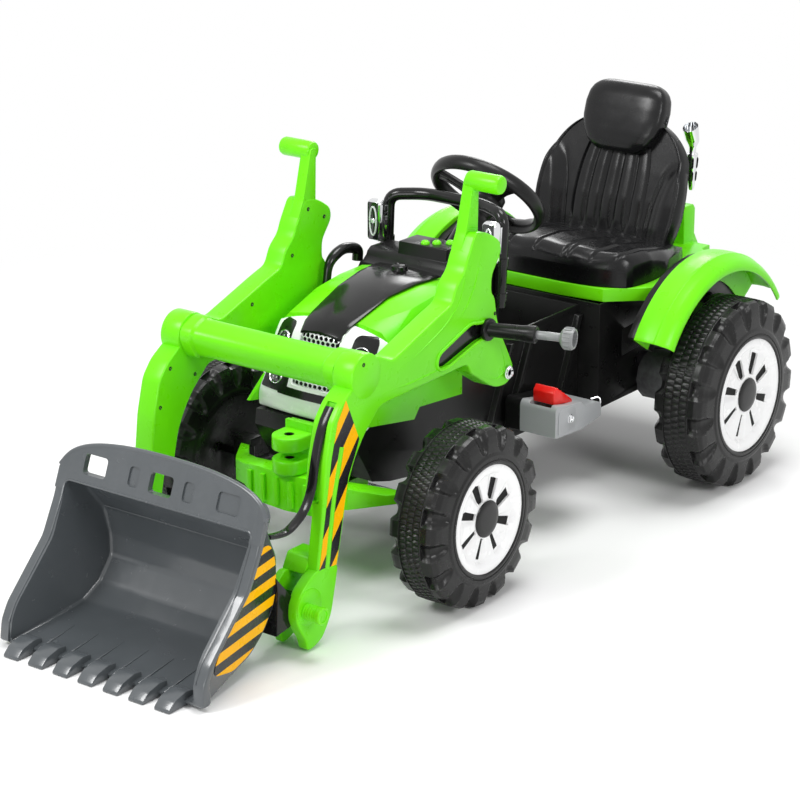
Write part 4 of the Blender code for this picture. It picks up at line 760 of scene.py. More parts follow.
def striped(outline: Sequence[Pair], low: float, high: float, pitch: float, slope: float,
            start: float = 0.0) -> Form:
    """Makes a plate whose faces are split into slanting strips of two materials.

    Args:
        outline: The plate's (y, z) corners.
        low: Its inner x.
        high: Its outer x.
        pitch: The width of one strip.
        slope: The angle of the strips' direction above +Y, in degrees.
        start: Where the first strip starts.

    Returns:
        The plate, with material 0 and 1 in turn.
    """
    form = Form().plate(outline, low, high)
    across = Vector((0, -math.sin(math.radians(slope)), math.cos(math.radians(slope))))
    reach = [v.co.dot(across) for v in form.bm.verts]
    first, last = math.floor((min(reach) - start) / pitch), math.ceil((max(reach) - start) / pitch)
    for number in range(first, last + 1):
        form.split(across * (start + number * pitch), across)
    for face in form.bm.faces:
        strip = math.floor((face.calc_center_median().dot(across) - start) / pitch)
        face.material_index = strip % 2
    return form


def arc(centre: Pair, radius: float, start: float, end: float, steps: int) -> list[Pair]:
    """Points on a circle in the (y, z) plane, between two angles in degrees from +Y."""
    turns = [math.radians(start + (end - start) * i / steps) for i in range(steps + 1)]
    return [(centre[0] + radius * math.cos(t), centre[1] + radius * math.sin(t)) for t in turns]


def both_ways(points: Sequence[Pair]) -> list[Pair]:
    """Points from the tractor's middle to its left, with their mirror images before them."""
    return [(-x, other) for x, other in reversed(points) if x] + list(points)


@dataclass
class RoadWheel:
    """A road wheel: its tyre with lugs and a tread band, its dished rim cover and its hub cap."""

    end: End
    axle_y: float
    axle_z: float
    radius: float
    rim_radius: float
    inner_x: float
    outer_x: float
    lugs: int = 16
    spokes: int = 8
    steps_per_lug: int = 24
    valley: float = 0.0068
    scoop_share: float = 0.5
    scoop_lip: float = 0.05
    web_out: float = 0.012
    web_in: float = -0.016
    bore: float = 0.0063
    hub_hole: float = 0.0256
    scoop_phase: float = 0.275
    scoop_power: float = 2.6
    shoulder: float = 0.029
    tread_rows: int = 3
    tread_depth: float = 0.0018
    block_share: float = 0.62
    slot_phase: float = 0.545
    wedge_depth: float = 0.0042

    @property
    def middle(self) -> float:
        """The x of the tyre's middle."""
        return (self.inner_x + self.outer_x) / 2

    @property
    def half(self) -> float:
        """Half of the tyre's width."""
        return (self.outer_x - self.inner_x) / 2

    @property
    def band(self) -> float:
        """Half of the width of the tread band between the shoulders."""
        return self.half - self.shoulder

    @property
    def web_face(self) -> float:
        """The x of the rim cover's and the hub cap's backs."""
        return self.web_out + 0.0003

    def tyre_profile(self) -> list[Pair]:
        """The section of the tyre with no lugs cut, from its web round its tread and back."""
        half, full, lip, band = self.half, self.radius, self.rim_radius, self.band
        keys = [(half - 0.0015, lip + 0.0005), (half, lip + 0.003), (half - 0.0004, lip + 0.006),
                (half - 0.0016, lip + 0.0068), (half - 0.0016, lip + 0.008), (half - 0.0004, lip + 0.0088),
                (half - 0.0008, lip + 0.015), (half - 0.0022, lip + 0.0168), (half - 0.004, full - 0.022),
                (half - 0.0062, full - 0.011), (half - 0.0104, full - 0.0032), (half - 0.016, full - 0.001),
                (band + 0.003, full - 0.0004)]
        outer = []
        for (xa, ra), (xb, rb) in zip(keys, keys[1:]):
            runs = max(1, round(math.hypot(xb - xa, rb - ra) / 0.0022))
            outer += [(xa + (xb - xa) * i / runs, ra + (rb - ra) * i / runs) for i in range(runs)]
        outer.append(keys[-1])
        ridge = [(band + 0.0022, full - 0.0002), (band + 0.0016, full), (band + 0.001, full - 0.0002),
                 (band + 0.0006, full - 0.0016)]
        column = 2 * band / self.tread_rows
        tread = []
        for number in range(self.tread_rows):
            start = band - number * column
            tread += [(start - 0.0008, full - 0.0016), (start - 0.0018, full),
                      (start - column + 0.0014, full), (start - column + 0.0006, full - 0.0016)]
        outer += ridge + tread
        mirrored = [(-x, r) for x, r in reversed(outer[3:-len(tread)])]
        web = [(self.web_in, self.bore), (self.web_out, self.bore), (self.web_out, lip - 0.004)]
        return outer + mirrored + [(-half + 0.001, lip + 0.004)] + web

    def scoop(self, x: float, r: float, phase: float) -> float:
        """How deep the shoulder is scooped out at this point of the section and of the lug's pitch."""
        band, end = self.band, self.rim_radius + 0.0185
        if abs(x) < band + 0.0026 or r < end:
            return 0.0
        top = self.radius - 0.0032
        down = min(1.0, max(0.0, (top - r) / (top - end)))
        wide = self.scoop_share / 2 * math.sqrt(max(0.0, 1 - down**self.scoop_power))
        off = abs((phase - self.scoop_phase + 0.5) % 1.0 - 0.5)
        if off > wide + self.scoop_lip:
            return 0.0
        if off > wide:
            return -0.0005 * math.sin(math.pi * (off - wide) / self.scoop_lip)
        hollow = 1 - (off / max(wide, 1e-6)) ** self.scoop_power
        return self.valley * hollow * ramp(band + 0.0026, band + 0.0056, abs(x)) * (1 - down**3)

    def tyre(self) -> Form:
        """The tyre about its own middle."""
        steps = self.lugs * self.steps_per_lug
        form = Form().revolve(self.tyre_profile(), ORIGIN, steps=steps, closed=True)
        band, full, blocks = self.band, self.radius, self.lugs * 6
        for vert in form.bm.verts:
            x, r = vert.co.x, math.hypot(vert.co.y, vert.co.z)
            turn = math.atan2(vert.co.z, vert.co.y) / (2 * math.pi) % 1.0
            if abs(x) < band and r > full - 0.001:
                row = math.floor((band - x) / (2 * band / self.tread_rows))
                cell = (turn * blocks + 0.5 * (row % 2) + 0.125) % 1.0
                drop, inward = (self.tread_depth if cell > self.block_share else 0.0), 0.0
            else:
                drop, inward = max(self.scoop(x, r, turn * self.lugs % 1.0), r - full), 0.8
            if drop:
                scale = (r - drop) / r
                vert.co.y, vert.co.z = vert.co.y * scale, vert.co.z * scale
                vert.co.x -= math.copysign(max(drop, 0.0) * inward, x)
        return form

    def bars(self, shares: Pair, widths: Pair, low: float, high: float, reach: float = 0.0) -> Form:
        """One bar for each spoke, wider at its outer end.

        Args:
            shares: How far in and out it runs, as shares of the rim's radius.
            widths: Half its width at its two ends.
            low: Its inner x.
            high: Its outer x.
            reach: How far its corners are rounded.

        Returns:
            The bars.
        """
        (near, far), (slim, wide) = (share * self.rim_radius for share in shares), widths
        corners = [(near, -slim), (near, slim), (far, wide), (far, -wide)]
        form = Form()
        for spoke in range(self.spokes):
            one = Form().plate(eased(corners, reach, 2) if reach else corners, low, high)
            form.add(one.turn(ORIGIN, 360 * (spoke + self.slot_phase) / self.spokes))
        return form

    def rim(self) -> Form:
        """The dished rim cover, with a slot and a wedge-shaped recess beside it for each spoke, and a
        near-black plug of painted shade sunk in each slot.
        """
        half, edge = self.half, self.rim_radius
        back, hole = self.web_face, self.hub_hole
        keys = [(back, hole), (half - 0.0085, hole), (half - 0.007, hole + 0.0015),
                (half - 0.0066, hole + 0.006)]
        keys += [(half - 0.0066, hole + 0.006 + (edge * 0.8 - hole - 0.006) * i / 10) for i in range(1, 11)]
        keys += [(half - 0.004, edge * 0.845), (half - 0.0014, edge * 0.885), (half - 0.001, edge * 0.91),
                 (half - 0.001, edge - 0.0015), (half - 0.002, edge), (half - 0.0035, edge + 0.0003),
                 (back, edge - 0.0046)]
        form = Form().revolve(keys, ORIGIN, steps=self.spokes * 24, closed=True)
        inner, outer = 0.34 * edge, 0.86 * edge
        for vert in form.bm.verts:
            x, r = vert.co.x, math.hypot(vert.co.y, vert.co.z)
            if x < back + 0.004 or not inner - 0.004 < r < outer:
                continue
            phase = math.atan2(vert.co.z, vert.co.y) / (2 * math.pi) * self.spokes % 1.0
            wedge = ramp(0.42, 0.5, phase) * (1 - ramp(0.74, 0.98, phase))
            along = ramp(inner, inner + 0.008, r) * (1 - ramp(outer - 0.007, outer, r))
            vert.co.x -= self.wedge_depth * wedge * along
        form.carve(self.bars((0.36, 0.74), (0.0048, 0.0066), 0.0, 0.08, 0.0012))
        # Near-black plugs sunk in the slots: painted shade inside the slots.
        slot_shade_plugs = self.bars((0.355, 0.745), (0.005, 0.0068), back + 0.0002, half - 0.0103)
        return form.add(slot_shade_plugs.paint(1))

    def hub(self) -> Form:
        """The domed hub cap, whose brim covers the edge of the rim cover's hole."""
        face, start, r, brim = self.half - 0.0035, self.web_face, 0.0246, 0.0278
        seat = self.half - 0.0064
        profile = [(start, 0), (start, r), (seat, r), (seat, brim - 0.0006), (seat + 0.0008, brim),
                   (face - 0.0012, brim - 0.0008), (face - 0.0002, brim - 0.003),
                   (face + 0.0004, brim * 0.62), (face + 0.0009, brim * 0.2), (face + 0.0009, 0)]
        return Form().revolve(profile, ORIGIN, steps=48)

    def build(self) -> None:
        """Makes both wheels of the axle."""
        for side in Side:
            centre = (side.value * self.middle, self.axle_y, self.axle_z)
            name = side.name_of(self.end.value)
            body = f"wheel_{name}"
            for kind, form, finish in (("tyre", self.tyre(), RUBBER),
                                       ("rim_cover", self.rim(), (WHITE, PAINTED_SHADOW)),
                                       ("hub_cap", self.hub(), GLOSS)):
                if side is Side.RIGHT:
                    form.turn(ORIGIN, 180, "Z")
                stand_in(f"{kind}_{name}", form.shift(centre), finish, body)


@dataclass
class LoaderArms:
    """The two side arms, their posts and grips, the crossbar, and the striped films on the legs."""

    inner_x: float = 0.141
    outer_x: float = 0.176
    post_x: float = 0.16
    pivot: Pair = (0.063, 0.285)
    crossbar: Pair = (-0.28, 0.37)
    bar_turn: float = 0.42
    grip: Pair = (0.006, 0.5872)
    outline: tuple = (
        (-0.04, 0.483), (-0.047, 0.466), (-0.066, 0.45), (-0.078, 0.424), (-0.111, 0.414), (-0.218, 0.377),
        (-0.255, 0.3935), (-0.336, 0.343), (-0.355, 0.32), (-0.369, 0.268), (-0.376, 0.2135),
        (-0.3935, 0.1075), (-0.3475, 0.1075), (-0.328, 0.19), (-0.318, 0.2306), (-0.304, 0.258),
        (-0.284, 0.2845), (-0.247, 0.318), (-0.038, 0.3235), (-0.031, 0.308), (0.022, 0.274), (0.04, 0.267),
        (0.064, 0.266), (0.078, 0.276), (0.0795, 0.292), (0.0656, 0.318), (0.0455, 0.352), (0.036, 0.376),
        (0.03, 0.41), (0.021, 0.4186), (0.022, 0.445), (0.0445, 0.474), (0.043, 0.492), (0.022, 0.506),
        (0.0045, 0.514), (-0.0195, 0.518))
    slot: tuple = (
        (-0.116, 0.338), (-0.112, 0.357), (-0.03, 0.385), (-0.012, 0.38), (0.014, 0.378), (0.018, 0.366),
        (0.012, 0.354), (-0.016, 0.351), (-0.098, 0.329))

    def arm(self, side: Side) -> Form:
        """One arm, made on the left and mirrored."""
        low, high = self.inner_x, self.outer_x
        arm = Form().plate(eased(self.outline, 0.009, 4), low, high, 0.003, 3)
        arm.join(Form().rod((low, *self.crossbar), (high + 0.001, *self.crossbar), 0.033, 0.003, 40))
        post = [(-0.036, 0.49), (-0.0232, 0.516), (-0.0035, 0.592), (0.009, 0.592), (0.0068, 0.51),
                (0.0215, 0.495)]
        arm.join(Form().plate(eased(post, 0.004, 3), low + 0.0005, self.post_x, 0.003, 3))
        arm.join(Form().rod((low + 0.002, *self.grip), (0.203, *self.grip), 0.0142, 0.005, 36))
        slot = Form().plate(eased(self.slot, 0.01, 4), high - 0.007, 0.19)
        arm.carve(slot)
        arm.carve(Form().rod((0.13, *self.pivot), (0.2, *self.pivot), 0.0063, steps=20))
        if side is Side.LEFT:
            middle = (low + high) / 2
            groove = [(-0.372, 0.33), (-0.342, 0.35), (-0.331, 0.342), (-0.347, 0.316), (-0.359, 0.268),
                      (-0.3665, 0.208), (-0.4, 0.208), (-0.39, 0.268)]
            arm.carve(Form().plate(groove, middle - 0.0078, middle + 0.0078))
        step = [(-0.45, 0.09), (-0.3, 0.09), (-0.3, 0.16), (-0.335, 0.196), (-0.45, 0.212)]
        arm.carve(Form().plate(step, low - 0.01, 0.1575))
        self.details(arm)
        return arm.mirrored(side)

    def details(self, arm: Form) -> None:
        """Adds the raised rims, creases, collars and ribs that stand on an arm."""
        face = self.outer_x
        rim = [(face, *point) for point in eased(self.slot, 0.012, 4)]
        arm.sweep(rim, 0.0028, 10, closed=True)
        creases = (
            ((-0.026, 0.492), (-0.044, 0.46), (-0.058, 0.424), (-0.09, 0.398), (-0.15, 0.374),
             (-0.23, 0.352)),
            ((-0.006, 0.49), (-0.016, 0.45), (-0.04, 0.412), (-0.072, 0.392)),
            ((-0.03, 0.338), (-0.1, 0.334), (-0.18, 0.332), (-0.243, 0.3345)),
            ((-0.008, 0.3), (0.018, 0.287), (0.04, 0.28), (0.058, 0.29), (0.054, 0.312),
             (0.04, 0.34)))
        for crease in creases:
            path = [(face - 0.0004, *point) for point in eased(crease, 0.022, 5, closed=False)]
            reach = len(path) - 1
            arm.sweep(path, [0.0005 + 0.001 * math.sin(math.pi * i / reach) for i in range(reach + 1)], 8)
        for level in (0.513, 0.519, 0.525):
            path = [(self.post_x + 0.0002, -0.0215 + (level - 0.516) * 0.257 + t * 0.026, level - t * 0.006)
                    for t in (0.02, 0.3, 0.6, 0.95)]
            arm.sweep(path, [0.0006, 0.0013, 0.0013, 0.0006], 8)
        rib = [(-0.3367, 0.2824), (-0.3475, 0.24), (-0.356, 0.21), (-0.3715, 0.113)]
        path = [(face - 0.0012, *point) for point in eased(rib, 0.02, 3, closed=False)]
        arm.sweep(path, 0.0048, 10)

    def film(self) -> Form:
        """The striped film on one leg's outer face."""
        outline = [(-0.3258, 0.347), (-0.3445, 0.32), (-0.359, 0.268), (-0.369, 0.2135), (-0.3885, 0.112),
                   (-0.35, 0.112), (-0.3325, 0.19), (-0.3215, 0.235), (-0.307, 0.262), (-0.297, 0.283)]
        return striped(outline, self.outer_x - 0.001, self.outer_x + 0.0005, 0.0215, 50.0, 0.006)

    def slot_shade_plate(self) -> Form:
        """The dark gloss plate on the floor of an arm's slot: painted shade, so that the shallow slot reads
        deep.
        """
        ring = eased(self.slot, 0.01, 4)
        middle = [sum(point[k] for point in ring) / len(ring) for k in (0, 1)]
        inlay = [(middle[0] + (y - middle[0]) * 0.95, middle[1] + (z - middle[1]) * 0.88) for y, z in ring]
        return Form().plate(inlay, 0.1686, 0.1693)

    def bar(self) -> Form:
        """The squarish crossbar, with a sleeve at each end."""
        r = 0.026
        half = [(0.1175, r - 0.0006), (0.1195, r), (0.1218, r + 0.0026), (0.1235, r + 0.003),
                (self.inner_x - 0.0003, r + 0.003)]
        rings = []
        for x, radius in both_ways(half):
            ring = []
            for t in full_turn(64):
                wide = radius * (abs(math.cos(t)) ** 3 + abs(math.sin(t)) ** 3) ** (-1 / 3) * 0.97
                ring.append((x, self.crossbar[0] + wide * math.cos(t + self.bar_turn),
                             self.crossbar[1] + wide * math.sin(t + self.bar_turn)))
            rings.append(ring)
        return Form().loft(rings)

    def build(self) -> None:
        """Makes the arms, the crossbar, the films, the screws and the pivot shaft with its bolts."""
        for side in Side:
            stand_in(side.name_of("arm"), self.arm(side), GREEN, "loader")
            screws = Form()
            for proud, y, z in ((0.0012, -0.2872, 0.3886), (0.0002, 0.0294, 0.3848)):
                screw(screws, (self.outer_x + proud, y, z), (1, 0, 0))
            for y, z in ((-0.0126, 0.501), (0.0257, 0.4813), (-0.052, 0.4371), (-0.1474, 0.3834),
                         (-0.3325, 0.3319), (-0.2791, 0.3094), (-0.3561, 0.2785), (-0.3485, 0.1978)):
                screw(screws, (self.inner_x - 0.0002, y, z), (-1, 0, 0))
            # The screws are black gloss so that they read as the dark holes that they sit in: painted shade.
            place(side.name_of("arm_screws"), screws.mirrored(side), GLOSS, "loader")
            place(side.name_of("leg_film"), self.film().mirrored(side), [INK, YELLOW], "loader")
            # The slot's floor gets a dark gloss plate of painted shade.
            place(side.name_of("slot_shade_plate"), self.slot_shade_plate().mirrored(side), GLOSS, "loader")
        stand_in("crossbar", self.bar(), GREEN, "loader")
        shaft = Form().rod((-0.18, *self.pivot), (0.18, *self.pivot), 0.006, 0.0005)
        for side in Side:
            head = [(0.1772, 0), (0.1772, 0.01), (0.1785, 0.0105), (0.18, 0.0104), (0.1806, 0.0088),
                    (0.1822, 0.0084), (0.1826, 0.007), (0.18, 0.005), (0.18, 0)]
            shaft.add(Form().revolve(head, (0, *self.pivot), steps=32).mirrored(side))
        stand_in("arm_pivot_shaft", shaft, CHROME)


@dataclass
class Bucket:
    """The bucket with its pivot blocks, brackets, push strip and striped films."""

    pivot: Pair = (-0.42, 0.065)
    half_width: float = 0.188
    mouth_half: float = 0.18
    draft: float = 0.2
    teeth: int = 7
    pitch: float = 0.0466
    tooth_width: float = 0.027
    tip_y: float = -0.68
    crest: Pair = (-0.5105, 0.25)
    lip: Pair = (-0.653, 0.006)
    lean: float = 0.379
    strip_x: float = 0.1585
    arch: tuple = ((0.0, 0.2745), (0.04, 0.274), (0.08, 0.272), (0.115, 0.268), (0.14, 0.263), (0.158, 0.257),
                   (0.171, 0.25), (0.18, 0.242), (0.188, 0.23))
    front: tuple = ((-0.534, 0.188), (-0.56, 0.137), (-0.598, 0.098), (-0.635, 0.06), (-0.648, 0.037))
    back: tuple = ((-0.496, 0.215), (-0.478, 0.183), (-0.4625, 0.16), (-0.456, 0.115), (-0.459, 0.082),
                   (-0.485, 0.048), (-0.518, 0.027), (-0.56, 0.018), (-0.63, 0.0015))

    def width(self, y: float, z: float) -> float:
        """The hull's half width at a point of its side outline, which draws in towards the back."""
        top, lip = Vector(self.crest), Vector(self.lip)
        along = (lip - top).normalized()
        inward = Vector((-along.y, along.x))
        return self.mouth_half - self.draft * max(0.0, (Vector((y, z)) - top).dot(inward))

    def crest_y(self, z: float) -> float:
        """The y of the leaning plane that the crown and the flanges stand in."""
        return self.crest[0] + self.lean * (z - self.crest[1])

    def drafted(self, outline: Sequence[Pair], thinner: float, rim: float) -> Form:
        """A solid with this side outline whose walls follow the hull's draft."""
        rings = [[(side * (self.width(y, z) - thinner), y, z) for y, z in outline] for side in (-1, 1)]
        form = Form().loft(rings)
        edges = [e for e in form.bm.edges if e.verts[0].co.x * e.verts[1].co.x > 0]
        form.bevel(form.bm, edges, rim, 5)
        return form

    def hull(self) -> Form:
        """The bucket itself, with its flange, crown, windows, recesses and teeth."""
        outer = list(self.front) + [(-0.649, 0.002)] + list(reversed(self.back)) + [(-0.516, 0.225)]
        hull = self.drafted(eased(outer, 0.01, 3), 0.0, 0.005)
        edge = [self.crest, *self.front, self.lip, (-0.633, 0.006)]
        behind = [(y + 0.0129, z + 0.00375) for y, z in reversed(self.front)]
        flange = eased(edge + behind + [(-0.4965, 0.25)], 0.007, 3)
        for side in Side:
            rolled = Form().plate(flange, 0.1715, self.half_width)
            limit = self.half_width - 1e-5
            edges = [e for e in rolled.bm.edges if min(v.co.x for v in e.verts) > limit]
            rolled.bevel(rolled.bm, edges, 0.0045, 4)
            hull.join(rolled.mirrored(side))
        crown = []
        for x, z in both_ways(self.arch):
            y = self.crest_y(z)
            crown.append([(x, -0.53, 0.2), (x, y - 0.0008, z - 0.0022), (x, y + 0.0015, z - 0.0004),
                          (x, y + 0.0045, z), (x, y + 0.008, z - 0.0008), (x, y + 0.0095, z - 0.003),
                          (x, -0.521, 0.2)])
        hull.join(Form().loft(crown))
        over = [(x, z + 0.001) for x, z in self.arch] + [(0.195, 0.22), (0.195, 0.3), (0.0, 0.3)]
        for side in Side:
            hull.carve(Form().slab(over, -0.56, -0.46).mirrored(side))
        hull.carve(self.hollow())
        openings = Form()
        for x in (-0.122, 0.0):
            openings.slab(window(x, 0.021, 0.226, 0.2535), -0.56, -0.48)
        for x, reach in ((-0.05, 0.0095), (0.05, 0.0095), (0.122, 0.02)):
            ring = window(x, reach, 0.227, 0.2535)
            openings.loft([[(u, y + self.lean * (v - self.crest[1]), v) for u, v in ring]
                           for y in (-0.56, -0.5078)])
        hull.carve(openings)
        for number in range(self.teeth):
            x = (number - (self.teeth - 1) / 2) * self.pitch
            tooth = [(-0.63, 0.001), (self.tip_y, 0.0), (self.tip_y, 0.004), (-0.668, 0.015),
                     (-0.645, 0.0205), (-0.63, 0.019)]
            half = self.tooth_width / 2
            hull.join(Form().plate(eased(tooth, 0.0025, 2), x - half, x + half, 0.0022, 3))
        return hull

    def hollow(self) -> Form:
        """The space inside the bucket."""
        outline = [(-0.529, 0.213), (-0.507, 0.21), (-0.4968, 0.2072), (-0.4835, 0.183), (-0.467, 0.159),
                   (-0.4603, 0.115), (-0.4633, 0.084), (-0.488, 0.052), (-0.52, 0.0313), (-0.56, 0.0223),
                   (-0.67, 0.006), (-0.7, 0.03), (-0.68, 0.09), (-0.62, 0.18), (-0.57, 0.213)]
        return self.drafted(eased(outline, 0.006, 3), 0.008, 0.005)

    def pivot_block(self, side: Side) -> Form:
        """The black block that turns on a bracket's pin."""
        lug = [(-0.465, 0.038), (-0.461, 0.1), (-0.464, 0.125), (-0.43, 0.086)]
        lug += arc(self.pivot, 0.021, 60, -100, 12)
        block = Form().plate(lug, 0.1303, 0.1617, 0.0015, 2).carve(self.hollow())
        return block.carve(Form().rod((0.1, *self.pivot), (0.18, *self.pivot), 0.013)).mirrored(side)

    def details(self) -> Form:
        """The beads along the mouth and the crown, the crease of the back, and the floor's short ribs."""
        form = Form()
        levels = [(z, y) for y, z in reversed([self.crest, *self.front])]
        mouth = [(0.1718, between(levels, z), z) for z in (0.037, 0.06, 0.098, 0.137, 0.188, 0.214)]
        ring = [(-x, y, z) for x, y, z in mouth] + list(reversed(mouth))
        form.sweep(eased(ring, 0.012, 4, closed=False), 0.0017, 8)
        crease = [(-0.153, -0.4678, 0.16), (0.153, -0.4678, 0.16)]
        form.sweep(crease, 0.0013, 8)
        ridge = [(x, self.crest_y(z) + 0.004, z - 0.0012) for x, z in both_ways(self.arch)]
        form.sweep(eased(ridge, 0.012, 3, closed=False), 0.0047, 12)
        for number in range(self.teeth - 1):
            x = (number - (self.teeth - 2) / 2) * self.pitch
            form.sweep([(x, -0.648, 0.0098), (x, -0.615, 0.0148), (x, -0.575, 0.0203)],
                       [0.0016, 0.0014, 0.0004], 8)
        return form

    def side_film(self) -> Form:
        """The striped film on one side wall, laid on its draft."""
        outline = [(-0.519, 0.186), (-0.544, 0.14), (-0.572, 0.098), (-0.608, 0.062), (-0.618, 0.038),
                   (-0.565, 0.0245), (-0.52, 0.033), (-0.488, 0.054), (-0.464, 0.086), (-0.46, 0.115),
                   (-0.468, 0.156), (-0.485, 0.185)]
        film = striped(eased(outline, 0.012, 3), 0.0, 1.0, 0.0152, 1.0, 0.002)

        def lay(point: Vector) -> Vector:
            """Puts a point of the flat film on the wall, its face 0.5 mm proud."""
            return Vector((self.width(point.y, point.z) + (0.0005 if point.x > 0.5 else -0.001),
                           point.y, point.z))

        return film.bend(lay)

    def bracket(self, side: Side) -> Form:
        """The two-plate bracket at an arm's foot, with its ribbed pin."""
        outline = [(-0.386, 0.117), (-0.406, 0.111), (-0.427, 0.096), (-0.439, 0.077), (-0.44, 0.057),
                   (-0.434, 0.042), (-0.419, 0.018), (-0.416, 0.003), (-0.404, 0.003), (-0.383, 0.011),
                   (-0.371, 0.027), (-0.3615, 0.044), (-0.35, 0.092), (-0.346, 0.112)]
        form = Form().plate(eased(outline, 0.008, 4), 0.159, 0.1768, 0.0024, 3)
        form.join(Form().plate(eased(outline[1:-1], 0.008, 4), 0.118, 0.13, 0.002, 3))
        bridge = [(-0.387, 0.131), (-0.4, 0.108), (-0.37, 0.096), (-0.352, 0.1), (-0.351, 0.131)]
        form.join(Form().plate(eased(bridge, 0.003, 2), 0.1185, 0.1585, 0.0012, 2))
        boss = [(0.175, 0), (0.175, 0.027), (0.1776, 0.0264), (0.1784, 0.025), (0.1784, 0)]
        form.revolve(boss, (0, self.pivot[0] + 0.008, self.pivot[1] + 0.004), steps=40)
        r = 0.0112
        profile = [(0.12, 0), (0.12, 0.01), (0.176, 0.01)]
        for x in (0.179, 0.1835, 0.188, 0.1925, 0.197):
            profile += [(x, r), (x + 0.0006, r + 0.001), (x + 0.002, r + 0.001), (x + 0.0026, r)]
        profile += [(0.201, r), (0.2016, r + 0.0016), (0.2076, r + 0.0016), (0.209, r + 0.0004),
                    (0.209, r * 0.75), (0.2074, r * 0.7), (0.2074, 0)]
        form.add(Form().revolve(profile, (0, *self.pivot), steps=32))
        return form.mirrored(side)

    def strip(self) -> Form:
        """The flexible push strip between the arm's groove and the bucket's back."""
        half, thick = 0.007, 0.0032
        run = [(-0.3385, 0.337), (-0.3545, 0.319), (-0.364, 0.3), (-0.374, 0.268), (-0.382, 0.228),
               (-0.4, 0.2), (-0.435, 0.183), (-0.462, 0.186), (-0.4785, 0.19)]
        path = [Vector((0, *point)) for point in eased(run, 0.016, 7, closed=False)]
        rings = []
        for i, point in enumerate(path):
            along = (path[min(i + 1, len(path) - 1)] - path[max(i - 1, 0)]).normalized()
            out = along.cross(UP_X) * thick
            section = ((1.0, 0.3), (0.84, 0.8), (0.45, 1.05), (0.0, 1.1), (-0.45, 1.05), (-0.84, 0.8),
                       (-1.0, 0.3), (-1.0, -0.6), (-0.84, -0.9), (0.84, -0.9), (1.0, -0.6))
            rings.append([point + out * b + Vector((self.strip_x + half * a, 0, 0)) for a, b in section])
        return Form().loft(rings)

    def build(self) -> None:
        """Makes the bucket, its films, the brackets and the strip."""
        stand_in("bucket", self.hull(), SLATE, "bucket_body", crease=24.0)
        place("bucket_beads", self.details(), SLATE, "bucket_body")
        for side in Side:
            place(side.name_of("bucket_film"), self.side_film().mirrored(side), [YELLOW, INK], "bucket_body")
            place(side.name_of("pivot_block"), self.pivot_block(side), GLOSS, "bucket_body")
            stand_in(side.name_of("bracket"), self.bracket(side), GREEN, "loader")
        strip = stand_in("tilt_strip", self.strip(), GLOSS, "loader")
        strip.parent = None
        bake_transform(strip)


